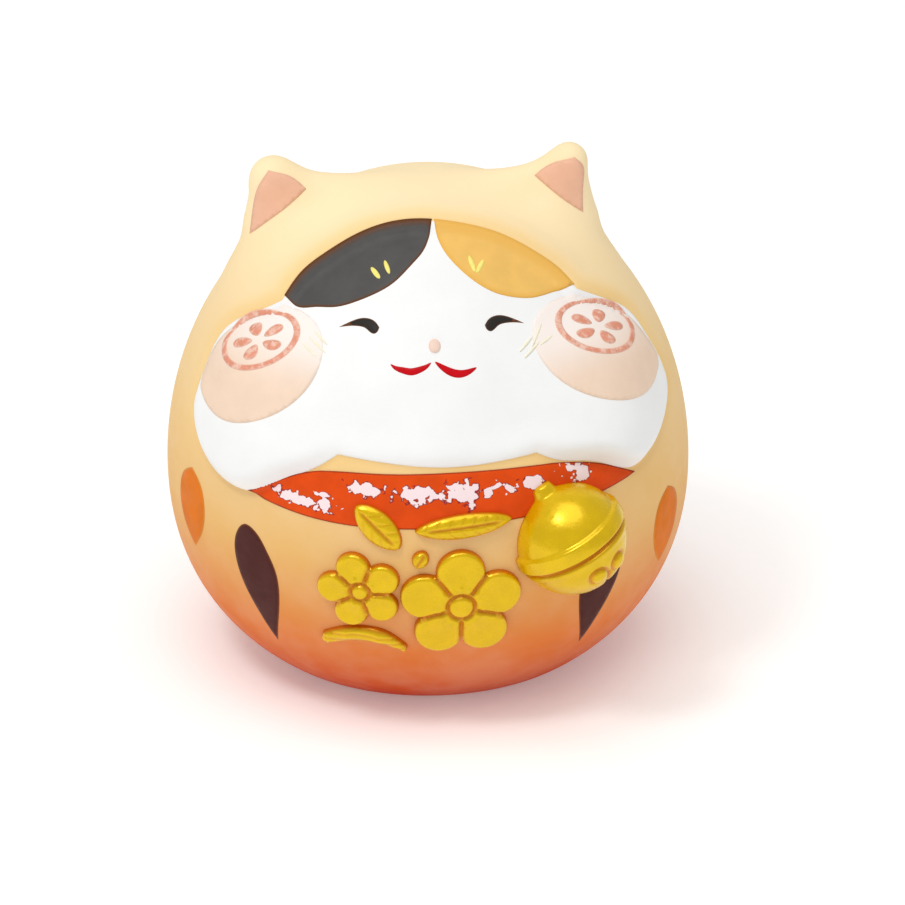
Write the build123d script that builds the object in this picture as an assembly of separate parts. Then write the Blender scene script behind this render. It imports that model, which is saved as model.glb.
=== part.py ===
from build123d import *
import math
import os

os.makedirs("parts", exist_ok=True)

# A round, hollow earthenware lucky cat, painted cold, that rests on its own foot ring.
# Millimetres, +Z up. The origin is the middle of the foot on the table. The face looks
# along -Y, and +X is on the right of somebody who faces the cat.

# ---- Driving dimensions: body ----
HALF_WIDTH = 50.4          # at the belly
DEPTH_RATIO = 0.95         # front-to-back size over side-to-side size
BELLY_HEIGHT = 38.8        # height of the widest section
CROWN_HEIGHT = 96.5
LOWER_HEIGHT = 45.65       # how far down the lower half would reach if the foot didn't cut it
LOWER_POWER = 2.18         # roundness of the lower half, where 2 is an ellipse
FOOT_ROUNDING = 1.6        # radius round the outer edge of the foot
WALL = 3.6                 # slip-cast wall
CORE_HEIGHT = 45.0         # the level the bulges are pushed out from

# Bulges and hollows of the face: azimuth (deg), height, spread, rise
BULGES = (
    (-50, 66, 11, 1.6),
    (50, 66, 11, 1.6),
    (-46, 53, 9, 0.9),
    (46, 53, 9, 0.9),
    (0, 60, 8, 0.8),
    (-28, 84, 9, -1.5),
    (28, 84, 9, -1.5),
    (0, 86, 8, -1.0),
)

# ---- Driving dimensions: ears ----
EAR_TIP = (28.0, 0.0, 102.3)
EAR_HEIGHT = 22.0          # from tip down to the root inside the body
EAR_INNER_REACH = 20.0     # root half-width towards the crown
EAR_OUTER_REACH = 8.0      # root half-width towards the side
EAR_DEPTH = 13.0           # root half-thickness, front to back

# ---- Driving dimensions: foot, drain hole and plug ----
FOOT_RING_INNER = 21.0     # radius of the shallow recess inside the foot ring
FOOT_RECESS = 1.8
HOLE_RADIUS = 8.0
PLUG_CLEARANCE = 0.05      # radial
PLUG_FLANGE_RADIUS = 11.0
PLUG_FLANGE_THICKNESS = 1.4
PLUG_STEM_LENGTH = 5.0
PLUG_BORE_RADIUS = 4.5     # the soft plug is hollow from the top
PLUG_BORE_DEPTH = 4.0

# ---- Driving dimensions: paint and relief, as distances out from the clay ----
BASE_COAT = 0.3            # face white, collar, spots and inner ears
SECOND_COAT = 0.5          # patches, blush, eyes, mouth
THIRD_COAT = 0.65          # seals and brow strokes, on top of the second coat
RELIEF = 1.7               # moulded gold blossom sprig
PRISM_START = 4.0          # prisms start this far from the axis and run outward
PRISM_END = 70.0

# ---- Driving dimensions: bell ----
BELL_RADIUS = 10.6
BELL_AZIMUTH = 30.2
BELL_CENTRE_HEIGHT = 40.8
BELL_CENTRE_OUT = 49.2     # distance of its centre from the axis of the body
BELL_LEAN = 23.5           # its loop leans to the left by this many degrees
BELL_TILT_BACK = 15.0      # and back towards the body by this many
BELL_BAND_RADIUS = 11.3
BELL_BAND_WIDTH = 3.2
BELL_BAND_LEVEL = 1.0      # middle of the band above the centre of the bell
BELL_GROOVE_WIDTH = 0.9
BELL_GROOVE_LEVEL = -1.3   # the groove runs just under the band
BELL_LOOP_RADIUS = 2.0
BELL_NECK_RADIUS = 4.2
BELL_SLOT_WIDTH = 1.3
BELL_EYE_RADIUS = 1.8
BELL_EYES = (2.5, -8.4, -6.0)       # direction of the right eye from the centre
SEAT_GAP = 0.02            # keeps an applied piece clear of the paint around it

UPPER_ANGLES = (0, 10, 20, 30, 40, 48, 56, 64, 71, 77, 82, 86)
LOWER_LEVELS = (0.0, 0.25, 0.8, 1.6, 4.0, 8.0, 14.0, 21.0, 28.0, 34.0)
SECTION_POINTS = 28


# ---- Body surface ----
def egg_level(x, y, z, grow):
    """Below 1 inside the plain egg shape, after it has grown outward by grow."""
    across = math.hypot(x, y / DEPTH_RATIO) / (HALF_WIDTH + grow)
    if z > BELLY_HEIGHT:
        up = (z - BELLY_HEIGHT) / (CROWN_HEIGHT - BELLY_HEIGHT + grow)
        return across**2 + up**2
    down = (BELLY_HEIGHT - z) / (LOWER_HEIGHT + grow)
    return across**LOWER_POWER + down**LOWER_POWER


def radius_where(level, longest=80.0):
    """Distance at which level(distance) passes 1, found by halving."""
    near, far = 0.0, longest
    for _ in range(40):
        middle = (near + far) / 2
        if level(middle) < 1:
            near = middle
        else:
            far = middle
    return near


def ray(azimuth, distance, z):
    """Point at this height, this far from the axis. Azimuth 0 is straight ahead."""
    angle = math.radians(azimuth)
    return (distance * math.sin(angle), -distance * math.cos(angle), z)


def egg_radius(azimuth, z, grow=0.0):
    """Distance of the plain egg's surface from the axis."""
    return radius_where(lambda distance: egg_level(*ray(azimuth, distance, z), grow))


BULGE_CENTRES = [
    (ray(azimuth, egg_radius(azimuth, height), height), spread, rise)
    for azimuth, height, spread, rise in BULGES
]


def body_level(x, y, z, grow):
    """Like egg_level, with the bulges of the face."""
    push = 0.0
    for centre, spread, rise in BULGE_CENTRES:
        gap = math.dist((x, y, z), centre)
        push += rise * math.exp(-(gap**2) / (2 * spread**2))
    core_gap = math.dist((x, y, z), (0, 0, CORE_HEIGHT))
    pull = 1 - push / max(core_gap, 1.0)
    return egg_level(x * pull, y * pull, CORE_HEIGHT + (z - CORE_HEIGHT) * pull, grow)


def foot_inset(z):
    """How far the rounded edge of the foot pulls a low section in."""
    if z >= FOOT_ROUNDING:
        return 0.0
    drop = 1 - z / FOOT_ROUNDING
    return FOOT_ROUNDING * (1 - math.sqrt(1 - drop**2))


def closed_spline(points):
    """Periodic spline with evenly spaced parameters, so that sections loft cleanly."""
    spacing = [index / len(points) for index in range(len(points) + 1)]
    return Wire([Edge.make_spline(points, periodic=True, parameters=spacing)])


def body_section(z, grow):
    points = []
    for index in range(SECTION_POINTS):
        azimuth = 180 + 360 * index / SECTION_POINTS
        distance = radius_where(lambda d: body_level(*ray(azimuth, d, z), grow))
        points.append(Vector(*ray(azimuth, distance - foot_inset(z), z)))
    return closed_spline(points)


def body(grow=0.0, floor=0.0):
    """The solid body without its ears, grown outward by grow, from the level floor up."""
    top = CROWN_HEIGHT + grow
    rise = top - BELLY_HEIGHT
    levels = [level for level in LOWER_LEVELS if level > floor]
    levels = [floor] + levels
    levels += [BELLY_HEIGHT + rise * math.sin(math.radians(angle)) for angle in UPPER_ANGLES]
    sections = [body_section(level, grow) for level in levels]
    return Solid.make_loft(sections + [Vertex(0, 0, top)])


# ---- Ears ----
def ear(side, grow=0.0):
    """Rounded triangular ear: horizontal ovals that shrink to the tip."""
    tip_x, tip_y, tip_z = EAR_TIP
    sections = []
    for share in (1.0, 0.7, 0.45, 0.27, 0.14, 0.06, 0.015):
        outer = EAR_OUTER_REACH * share**0.36 + grow
        inner = EAR_INNER_REACH * share**0.5 + grow
        depth = EAR_DEPTH * share**0.6 + grow
        middle = side * (tip_x + (outer - inner) / 2)
        level = tip_z + grow - EAR_HEIGHT * share
        points = []
        for index in range(SECTION_POINTS // 2):
            turn = 2 * math.pi * index / (SECTION_POINTS // 2)
            x = middle + (outer + inner) / 2 * math.cos(turn)
            points.append(Vector(x, tip_y + depth * math.sin(turn), level))
        sections.append(closed_spline(points))
    sections.reverse()
    tip = Vertex(side * tip_x, tip_y, tip_z + grow)
    return Solid.make_loft([tip] + sections)


def with_ears(solid, grow):
    return solid.fuse(ear(-1, grow), ear(1, grow))


# ---- Outlines drawn on upright planes, then carried onto the body ----
def outline(*curves):
    """Face bounded by smooth curves of (across, height) points, end to end."""
    edges = []
    for curve in curves:
        points = [Vector(across, -PRISM_START, height) for across, height in curve]
        if len(points) == 2:
            edges.append(Edge.make_line(*points))
        else:
            edges.append(Edge.make_spline(points))
    return Face(Wire(edges))


def oval(across, height, half_length, half_breadth, turn=0.0):
    """Face inside an ellipse whose long axis is turned anticlockwise from level, in degrees."""
    plane = Plane(origin=(across, -PRISM_START, height), x_dir=(1, 0, 0), z_dir=(0, -1, 0))
    return Face(Wire([Edge.make_ellipse(half_length, half_breadth, plane.rotated((0, 0, turn)))]))


def prism(face, azimuth=0.0):
    """Extrude outward from the axis, then swing round to the azimuth."""
    block = Solid.extrude(face, Vector(0, PRISM_START - PRISM_END, 0))
    return block.rotate(Axis.Z, azimuth)


def mirrored(points):
    return [(-across, height) for across, height in points]


def solids_of(*shapes):
    """All the solids of these shapes as one compound."""
    found = []
    for shape in shapes:
        found += list(shape.solids())
    return Compound(found)


def laid_on(faces, layer, azimuth=0.0):
    """The part of a thin layer that lies in front of the faces."""
    return solids_of(*[prism(face, azimuth).intersect(layer) for face in faces])


def without(shape, *tools):
    """Cut every solid of a compound."""
    return solids_of(*[solid.cut(*tools) for solid in shape.solids()])


def save(name, shape):
    export_step(shape, f"parts/{name}.step")
    print(name, len(shape.solids()), "solid(s)", round(shape.volume, 1), "mm3", flush=True)


# ---- Shared surfaces ----
clay = body()
clay_with_ears = with_ears(clay, 0.0)
base_surface = body(BASE_COAT)
second_surface = body(SECOND_COAT)
third_surface = body(THIRD_COAT)
relief_surface = body(RELIEF)
base_layer = base_surface.cut(clay)
second_layer = second_surface.cut(base_surface)
third_layer = third_surface.cut(second_surface)
relief_layer = relief_surface.cut(clay)


# ---- Clay body ----
def body_shell():
    cavity = body(-WALL, floor=WALL + FOOT_RECESS)
    recess = Solid.make_cylinder(FOOT_RING_INNER, FOOT_RECESS)
    hole = Solid.make_cylinder(HOLE_RADIUS, WALL + FOOT_RECESS + 1)
    return clay_with_ears.cut(cavity, recess, hole)


def drain_plug():
    """Soft plug with a flange that stays inside the foot recess."""
    flange_base = FOOT_RECESS - PLUG_FLANGE_THICKNESS
    stem_radius = HOLE_RADIUS - PLUG_CLEARANCE
    flange = Solid.make_cylinder(
        PLUG_FLANGE_RADIUS, PLUG_FLANGE_THICKNESS, Plane((0, 0, flange_base))
    )
    stem = Solid.make_cylinder(stem_radius, PLUG_STEM_LENGTH, Plane((0, 0, FOOT_RECESS)))
    bore_base = FOOT_RECESS + PLUG_STEM_LENGTH - PLUG_BORE_DEPTH
    bore = Solid.make_cylinder(PLUG_BORE_RADIUS, PLUG_BORE_DEPTH, Plane((0, 0, bore_base)))
    return flange.fuse(stem).cut(bore)


# ---- Bell ----
bell_centre = ray(BELL_AZIMUTH, BELL_CENTRE_OUT, BELL_CENTRE_HEIGHT)
bell_place = Location(bell_centre) * Location((0, 0, 0), (0, 0, BELL_AZIMUTH))
bell_place = bell_place * Location((0, 0, 0), (-BELL_TILT_BACK, 0, 0))
bell_place = bell_place * Location((0, 0, 0), (0, -BELL_LEAN, 0))
BELL_LOOP_OFFSET = BELL_RADIUS + 0.7
BELL_REACH = math.hypot(BELL_BAND_RADIUS, BELL_BAND_LEVEL + BELL_BAND_WIDTH / 2)


def bell_room():
    """Two balls that hold the bell and its loop, for cutting the paint under them."""
    ball = Solid.make_sphere(BELL_REACH + SEAT_GAP)
    loop_ball = Solid.make_sphere(BELL_LOOP_RADIUS + SEAT_GAP)
    loop_ball = loop_ball.moved(Location((0, 0, BELL_LOOP_OFFSET)))
    return [ball.moved(bell_place), loop_ball.moved(bell_place)]


def bell():
    """Round bell made upright at the origin, with its face along -Y, then put in place.

    A neck and loop on top, a band round the middle with a groove under it, and two raised
    round eyes on either side of a slot.
    """
    ball = Solid.make_sphere(BELL_RADIUS)
    band_base = BELL_BAND_LEVEL - BELL_BAND_WIDTH / 2
    band = Solid.make_cylinder(BELL_BAND_RADIUS, BELL_BAND_WIDTH, Plane((0, 0, band_base)))
    band = band.fillet(0.8, band.edges())
    groove = Solid.make_torus(BELL_RADIUS, BELL_GROOVE_WIDTH / 2)
    groove = groove.moved(Location((0, 0, BELL_GROOVE_LEVEL)))
    neck = Solid.make_cone(
        BELL_NECK_RADIUS, BELL_LOOP_RADIUS - 0.2, 2.6, Plane((0, 0, BELL_RADIUS - 2))
    )
    loop_top = Solid.make_sphere(BELL_LOOP_RADIUS).moved(Location((0, 0, BELL_LOOP_OFFSET)))
    slot = Solid.make_box(
        BELL_SLOT_WIDTH,
        2 * BELL_RADIUS,
        BELL_RADIUS * 0.4,
        Plane((-BELL_SLOT_WIDTH / 2, -BELL_RADIUS * 1.6, -BELL_RADIUS * 1.1)),
    )
    eyes = []
    reach = (BELL_RADIUS - 1.2) / math.hypot(*BELL_EYES)
    for side in (-1, 1):
        across, front, level = (reach * number for number in BELL_EYES)
        eye = Solid.make_sphere(BELL_EYE_RADIUS)
        eyes.append(eye.moved(Location((side * across, front, level))))
    whole = ball.fuse(band, neck, loop_top, *eyes).cut(groove, slot)
    placed = whole.moved(bell_place).cut(clay)
    return placed.solids().sort_by(SortBy.VOLUME)[-1]


# ---- Painted face ----
FACE_TOP = 94.3
CHIN_HEIGHT = 57.1
JOWL_CUSP = (18.4, 58.2)
CORNER = (28.1, 82.1)      # where each patch meets the side of the face

FACE_SIDE = [CORNER, (37.3, 74.0), (43.9, 62.5), (44.3, 54.5), (40.2, 49.2), (33.5, 50.2),
             (24.5, 54.6), JOWL_CUSP]
FACE_CHIN = [JOWL_CUSP, (9.0, 57.4), (0, CHIN_HEIGHT), (-9.0, 57.4), (-JOWL_CUSP[0], JOWL_CUSP[1])]
FACE_BROW = [(-CORNER[0], CORNER[1]), (-17.2, 90.6), (0, FACE_TOP), (17.2, 90.6), CORNER]


def face_outline():
    left_side = list(reversed(mirrored(FACE_SIDE)))
    return outline(FACE_BROW, FACE_SIDE, FACE_CHIN, left_side)


def within_face(shape):
    """The part of a shape that lies inside the outline of the face."""
    return solids_of(*[solid.intersect(prism(face_outline())) for solid in shape.solids()])


def brow_patch(side):
    """Leaf-shaped calico patch between the parting and the corner of the face."""
    upper = [(0.4, FACE_TOP - 0.4), (9.0, 92.8), (17.0, 89.9), (CORNER[0] - 0.4, CORNER[1])]
    lower = [upper[-1], (19.4, 81.0), (8.0, 85.6), upper[0]]
    if side < 0:
        upper = mirrored(upper)
        lower = mirrored(lower)
    return laid_on([outline(upper, lower)], second_layer)


def eye(side):
    """Smiling comma-shaped eye, round end towards the nose."""
    over = [(9.8, 79.4), (12.2, 80.75), (17.2, 78.6)]
    under = [(17.2, 78.6), (14.0, 79.3), (11.4, 78.8)]
    end = [(11.4, 78.8), (10.3, 78.75), (9.8, 79.4)]
    curves = [over, under, end]
    if side < 0:
        curves = [mirrored(curve) for curve in curves]
    return laid_on([outline(*curves)], second_layer)


def mouth():
    """Two upturned strokes that don't quite meet under the nose."""
    strokes = []
    for side in (-1, 1):
        upper = [(0.4, 74.9), (2.0, 73.9), (4.5, 73.6), (7.8, 74.0)]
        under = [(7.8, 74.0), (5.4, 72.7), (2.6, 72.8), (0.4, 74.9)]
        if side < 0:
            upper = mirrored(upper)
            under = mirrored(under)
        strokes.append(outline(upper, under))
    return laid_on(strokes, second_layer)


def nose():
    """Low bead on the white of the face."""
    height = 77.3
    bead = Solid.make_sphere(1.6)
    bead = bead.moved(Location(ray(0, egg_radius(0, height) + 0.1, height)))
    return bead.cut(base_surface)


WHISKER_ROOTS = ((15.4, 75.4), (16.9, 74.5), (18.6, 73.7))


def whisker_faces():
    """Three short strokes on each side, beside the blush."""
    faces = []
    for across, height in WHISKER_ROOTS:
        for side in (-1, 1):
            faces.append(oval(side * (across + 1.6), height + 0.9, 2.1, 0.25, side * 30))
    return faces


BLUSH = (31.4, 70.8, 13.6, 6.8)     # across, height, half-length, half-breadth
BLUSH_TURN = -38
SEAL = (31.1, 73.7, 7.8, 3.7)
SEAL_TURN = -33
SEAL_LINE = 0.9


def cheek_blush(side, whiskers):
    across, height, half_length, half_breadth = BLUSH
    disc = oval(side * across, height, half_length, half_breadth, side * BLUSH_TURN)
    return within_face(without(laid_on([disc], second_layer), *whiskers.solids()))


def cheek_seal(side):
    """Ring round a small five-petal blossom, stamped on the blush."""
    across, height, half_length, half_breadth = SEAL
    turn = side * SEAL_TURN
    middle = side * across
    squeeze = half_breadth / half_length
    outer = prism(oval(middle, height, half_length, half_breadth, turn))
    inner_length = half_length - SEAL_LINE
    inner = prism(oval(middle, height, inner_length, inner_length * squeeze, turn))
    petals = []
    for index in range(5):
        angle = math.radians(90 + 72 * index)
        along = 3.0 * math.cos(angle)
        over = 3.0 * squeeze * math.sin(angle)
        lean = math.radians(turn)
        x = middle + along * math.cos(lean) - over * math.sin(lean)
        z = height + along * math.sin(lean) + over * math.cos(lean)
        petals.append(oval(x, z, 1.35, 1.35 * squeeze, turn))
    ring = outer.cut(inner).intersect(third_layer)
    return solids_of(ring, laid_on(petals, third_layer))


def brow_marks():
    """Two short gold strokes on each patch."""
    faces = []
    for side in (-1, 1):
        faces.append(oval(side * 8.2, 87.7, 1.1, 0.35, 90 + side * 24))
        faces.append(oval(side * 9.9, 87.1, 1.1, 0.35, 90 - side * 24))
    return laid_on(faces, third_layer)


def collar():
    """Crescent-shaped neckerchief under the chin."""
    left, right = (-36.0, 48.0), (37.0, 48.6)
    upper = [left, (-25.0, 53.9), (-12.0, 55.7), (12.0, 56.0), (25.0, 55.0), right]
    under = [right, (16.0, 46.3), (0, 45.7), (-16.0, 45.8), left]
    room = bell_room() + [prism(face_outline())] + [prism(leaf) for leaf in leaf_faces()]
    return without(laid_on([outline(upper, under)], base_layer), *room)


def ear_inner(side, layer):
    """Pink triangle with soft corners on the front of an ear."""
    tip, inner, low = (29.2, 99.0), (20.0, 95.0), (32.2, 87.5)
    triangle = outline(
        [tip, (24.8, 97.3), inner],
        [inner, (26.6, 92.0), low],
        [low, (31.6, 93.5), tip],
    )
    if side < 0:
        triangle = triangle.mirror(Plane.YZ)
    return laid_on([triangle], layer)


# ---- Painted coat spots: half outlines on planes square to each azimuth ----
def front_spots():
    """Long dark teardrops beside the blossom sprig, and two more behind."""
    drops = []
    for azimuth in (-43, 43, -137, 137):
        near = [(0, 40.8), (3.2, 37.8), (4.7, 32.0), (4.4, 26.4), (2.8, 20.6), (0.4, 15.6)]
        far = [near[-1], (-1.8, 22.9), (-3.9, 28.5), (-5.0, 34.0), (-3.6, 38.6), near[0]]
        if azimuth > 0:
            near = mirrored(near)
            far = mirrored(far)
        drops.append(laid_on([outline(near, far)], base_layer, azimuth))
    return without(solids_of(*drops), *bell_room())


def side_spots():
    """Rounder orange drops on the flanks, and one behind: azimuth and drop in height."""
    drops = []
    for azimuth, drop in ((-67, 0), (64, 2.6), (180, 1)):
        right = [(0, 45.4 - drop), (3.6, 43.2 - drop), (5.2, 38.5 - drop), (3.6, 33.0 - drop),
                 (0, 28.6 - drop)]
        left = list(reversed(mirrored(right)))
        drops.append(laid_on([outline(right, left)], base_layer, azimuth))
    return solids_of(*drops)


# ---- Moulded gold blossom sprig ----
BLOSSOM = (4.4, 29.8, 11.6)          # across, height, radius
SMALL_BLOSSOM = (-14.0, 32.6, 8.0)
PETAL_GAP = 0.5


def blossom(across, height, radius, turn):
    """Five round petals round a domed middle."""
    petal_radius = radius * 0.40
    pieces = []
    for index in range(5):
        angle = math.radians(turn + 72 * index)
        x = across + radius * 0.60 * math.cos(angle)
        z = height + radius * 0.60 * math.sin(angle)
        pieces.append(oval(x, z, petal_radius - PETAL_GAP / 2, petal_radius - PETAL_GAP / 2))
    pieces.append(oval(across, height, radius * 0.18, radius * 0.18))
    return laid_on(pieces, relief_layer)


def twig():
    """Curved branch at the lower left of the sprig."""
    upper = [(-21.0, 21.8), (-13.0, 24.4), (-6.4, 21.2)]
    end = [upper[-1], (-5.8, 18.8)]
    under = [(-5.8, 18.8), (-13.0, 21.0), (-20.1, 19.0)]
    start = [under[-1], upper[0]]
    return laid_on([outline(upper, end, under, start)], relief_layer)


def leaf_faces():
    """Two leaves at the top of the sprig and a bud between the blossoms."""
    return [
        oval(-10.7, 45.7, 5.6, 2.9, -45),
        oval(5.0, 46.0, 9.0, 2.3, 5),
        oval(-3.0, 39.6, 1.9, 1.5, 60),
    ]


def leaves():
    return laid_on(leaf_faces(), relief_layer)


# ---- Build and write every piece ----
shell = body_shell()
save("body_shell", shell)
save("drain_plug", drain_plug())
save("bell", bell())
save("face_white", laid_on([face_outline()], base_layer))
save("patch_dark", brow_patch(-1))
save("patch_orange", brow_patch(1))
save("eye_left", eye(-1))
save("eye_right", eye(1))
save("mouth", mouth())
save("nose", nose())
whiskers = laid_on(whisker_faces(), second_layer)
save("whiskers", whiskers)
save("cheek_blush_left", cheek_blush(-1, whiskers))
save("cheek_blush_right", cheek_blush(1, whiskers))
save("cheek_seal_left", cheek_seal(-1))
save("cheek_seal_right", cheek_seal(1))
save("brow_marks", brow_marks())
save("collar", collar())
ear_layer = with_ears(base_surface, BASE_COAT).cut(clay_with_ears)
save("ear_inner_left", ear_inner(-1, ear_layer))
save("ear_inner_right", ear_inner(1, ear_layer))
save("front_spots", front_spots())
save("side_spots", side_spots())
save("blossom_large", blossom(*BLOSSOM, 90))
save("blossom_small", blossom(*SMALL_BLOSSOM, 34))
save("twig", twig())
save("leaves", leaves())
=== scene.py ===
"""Looks of the round pottery lucky cat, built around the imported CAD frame.

Lengths here are millimetres in the frame's axes (+Z up, the face looks along -Y) and become
metres when a mesh is made. The body is star-shaped about CORE, so its surface is one distance
for each direction. Every coat of paint and every relief is laid on that same surface.
"""
import math

import bpy
import numpy as np
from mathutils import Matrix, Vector
from mathutils.geometry import delaunay_2d_cdt


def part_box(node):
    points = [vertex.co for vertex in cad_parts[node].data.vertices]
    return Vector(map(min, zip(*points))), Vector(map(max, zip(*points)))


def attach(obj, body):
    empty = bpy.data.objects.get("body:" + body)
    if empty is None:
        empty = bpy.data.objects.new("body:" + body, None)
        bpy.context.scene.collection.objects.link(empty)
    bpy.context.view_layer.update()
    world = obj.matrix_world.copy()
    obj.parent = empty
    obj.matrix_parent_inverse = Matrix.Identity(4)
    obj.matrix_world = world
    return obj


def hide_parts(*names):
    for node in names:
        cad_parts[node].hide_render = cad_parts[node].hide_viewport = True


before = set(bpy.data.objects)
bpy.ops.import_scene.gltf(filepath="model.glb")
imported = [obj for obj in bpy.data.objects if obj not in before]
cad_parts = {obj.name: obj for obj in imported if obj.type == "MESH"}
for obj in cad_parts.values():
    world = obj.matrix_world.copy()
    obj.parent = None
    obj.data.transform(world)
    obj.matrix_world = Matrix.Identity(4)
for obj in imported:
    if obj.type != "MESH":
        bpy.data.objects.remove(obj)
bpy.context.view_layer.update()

MM = 0.001
FIGURE = "figure"
PLUG = "plug"


def cad_box(node):
    """Lowest and highest corner of a CAD node in millimetres."""
    low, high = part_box(node)
    return np.array(low) / MM, np.array(high) / MM


# ---------------------------------------------------------------- sizes
SHELL_LOW, SHELL_HIGH = cad_box("body_shell")
HALF_WIDTH = (SHELL_HIGH[0] - SHELL_LOW[0]) / 2
DEPTH_RATIO = (SHELL_HIGH[1] - SHELL_LOW[1]) / (SHELL_HIGH[0] - SHELL_LOW[0])
BELLY = 38.8                    # height of the widest section
UPPER = 57.7                    # crown above the belly
LOWER = 45.65                   # lower half, as if the foot didn't cut it
LOWER_POWER = 2.18
CORE = np.array([0.0, 0.0, 45.0])
WALL = 3.6
FOOT_RING = 21.0
FOOT_RECESS = 1.8
HOLE = 8.0

CHART_RADIUS = 50.0             # turns an angle about CORE into millimetres on a flat chart


# ---------------------------------------------------------------- body surface
def egg_distance(points):
    """About how far points are outside the plain egg."""
    offset = points - np.array([0.0, 0.0, BELLY])
    across = np.hypot(offset[:, 0], offset[:, 1] / DEPTH_RATIO) / HALF_WIDTH
    up = np.abs(offset[:, 2])
    above = np.hypot(across, up / UPPER)
    below = (across**LOWER_POWER + (up / LOWER)**LOWER_POWER) ** (1 / LOWER_POWER)
    level = np.where(offset[:, 2] > 0, above, below)
    return np.linalg.norm(offset, axis=1) * (1 - 1 / np.maximum(level, 1e-6))


def round_cone_distance(points, start, end, start_radius, end_radius):
    """Exact distance to a cone between two balls."""
    axis = end - start
    length2 = axis @ axis
    taper = start_radius - end_radius
    slant2 = length2 - taper**2
    offset = points - start
    along = offset @ axis
    beyond = along - length2
    sideways = offset * length2 - np.outer(along, axis)
    across2 = np.einsum("ij,ij->i", sideways, sideways)
    turn = math.copysign(taper**2, taper) * across2
    past_end = np.sign(beyond) * slant2 * beyond**2 * length2 > turn
    past_start = np.sign(along) * slant2 * along**2 * length2 < turn
    end_ball = np.sqrt(across2 + beyond**2 * length2) / length2 - end_radius
    start_ball = np.sqrt(across2 + along**2 * length2) / length2 - start_radius
    side = (np.sqrt(across2 * slant2 / length2) + along * taper) / length2 - start_radius
    return np.where(past_end, end_ball, np.where(past_start, start_ball, side))


def blend_union(first, second, width):
    """The nearer of two distances, rounded off where they are within width of each other."""
    share = np.clip(0.5 + 0.5 * (second - first) / width, 0, 1)
    return second + (first - second) * share - width * share * (1 - share)


EAR_TIPS = {                    # across, height and radius of each rounded tip, hand finished
    -1: (-28.7, 96.6, 3.2),
    1: (27.1, 99.3, 2.1),
}
EAR_ROOTS = {                   # across, height and radius of each root, for a fan of cones
    -1: ((-30.0, 88.3, 3.9), (-26.0, 77.0, 9.6), (-18.5, 83.0, 7.5), (-9.0, 90.2, 4.0)),
    1: ((28.6, 88.3, 3.3), (24.2, 77.0, 9.2), (18.5, 83.0, 7.5), (9.0, 90.2, 4.0)),
}
EAR_MERGE = 3.0
EAR_DEPTH_SQUEEZE = 0.92        # ears are a little thinner front to back than side to side


def ear_distance(points, side):
    """Distance to one ear, a fan of cones from its roots to its tip."""
    across, height, tip_radius = EAR_TIPS[side]
    tip = np.array([across, 0.0, height])
    thin = points / np.array([1.0, EAR_DEPTH_SQUEEZE, 1.0])
    distance = None
    for across, height, radius in EAR_ROOTS[side]:
        root = np.array([across, 1.0, height])
        cone = round_cone_distance(thin, root, tip, radius, tip_radius)
        distance = cone if distance is None else blend_union(distance, cone, EAR_MERGE)
    return distance


EAR_BLEND = 7.0
FOOT_EDGE = 2.2


def body_distance(points):
    """About how far points are outside the body without its face."""
    distance = egg_distance(points)
    for side in (-1, 1):
        distance = blend_union(distance, ear_distance(points, side), EAR_BLEND)
    return -blend_union(-distance, points[:, 2], FOOT_EDGE)


def first_crossing(inside_at, count, near, far, steps=19):
    """Halves [near, far] for each of count rays until inside_at changes."""
    low = np.full(count, float(near))
    high = np.full(count, float(far))
    for _ in range(steps):
        middle = (low + high) / 2
        inside = inside_at(middle)
        low = np.where(inside, middle, low)
        high = np.where(inside, high, middle)
    return (low + high) / 2


def unit(vectors):
    return vectors / np.linalg.norm(vectors, axis=-1, keepdims=True)


def plain_radius(directions):
    """Distance from CORE to the body without its face."""
    def inside_at(reach):
        return body_distance(CORE + directions * reach[:, None]) < 0
    return first_crossing(inside_at, len(directions), 25, 85)


def turned(points, azimuth):
    """Swings points round Z, so that what faced ahead faces the azimuth (deg)."""
    angle = math.radians(azimuth)
    x = points[:, 0] * math.cos(angle) - points[:, 1] * math.sin(angle)
    y = points[:, 0] * math.sin(angle) + points[:, 1] * math.cos(angle)
    return np.column_stack([x, y, points[:, 2]])


def directions_to(flat, azimuth=0.0):
    """Directions from CORE to (across, height) points carried straight back on to the body."""
    flat = np.asarray(flat, float)

    def at(depth):
        return turned(np.column_stack([flat[:, 0], -depth, flat[:, 1]]), azimuth)

    depth = first_crossing(lambda depth: body_distance(at(depth)) < 0, len(flat), 0, 70)
    return unit(at(depth) - CORE)


class Chart:
    """Flat map of directions, in millimetres, true to distance from its middle."""

    def __init__(self, middle):
        self.middle = unit(np.asarray(middle, float))
        self.right = unit(np.cross(self.middle, [0, 0, 1.0]) * -1)
        up = np.cross(self.middle, self.right)
        self.up = up * np.sign(up[2])

    def flat(self, directions):
        ahead = np.clip(directions @ self.middle, -1, 1)
        across = np.column_stack([directions @ self.right, directions @ self.up])
        length = np.maximum(np.linalg.norm(across, axis=1), 1e-9)
        return across / length[:, None] * (np.arccos(ahead) * CHART_RADIUS)[:, None]

    def directions(self, flat):
        length = np.maximum(np.linalg.norm(flat, axis=1), 1e-9)
        angle = (length / CHART_RADIUS)[:, None]
        across = flat / length[:, None]
        outward = across[:, :1] * self.right + across[:, 1:] * self.up
        return np.cos(angle) * self.middle + np.sin(angle) * outward


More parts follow.
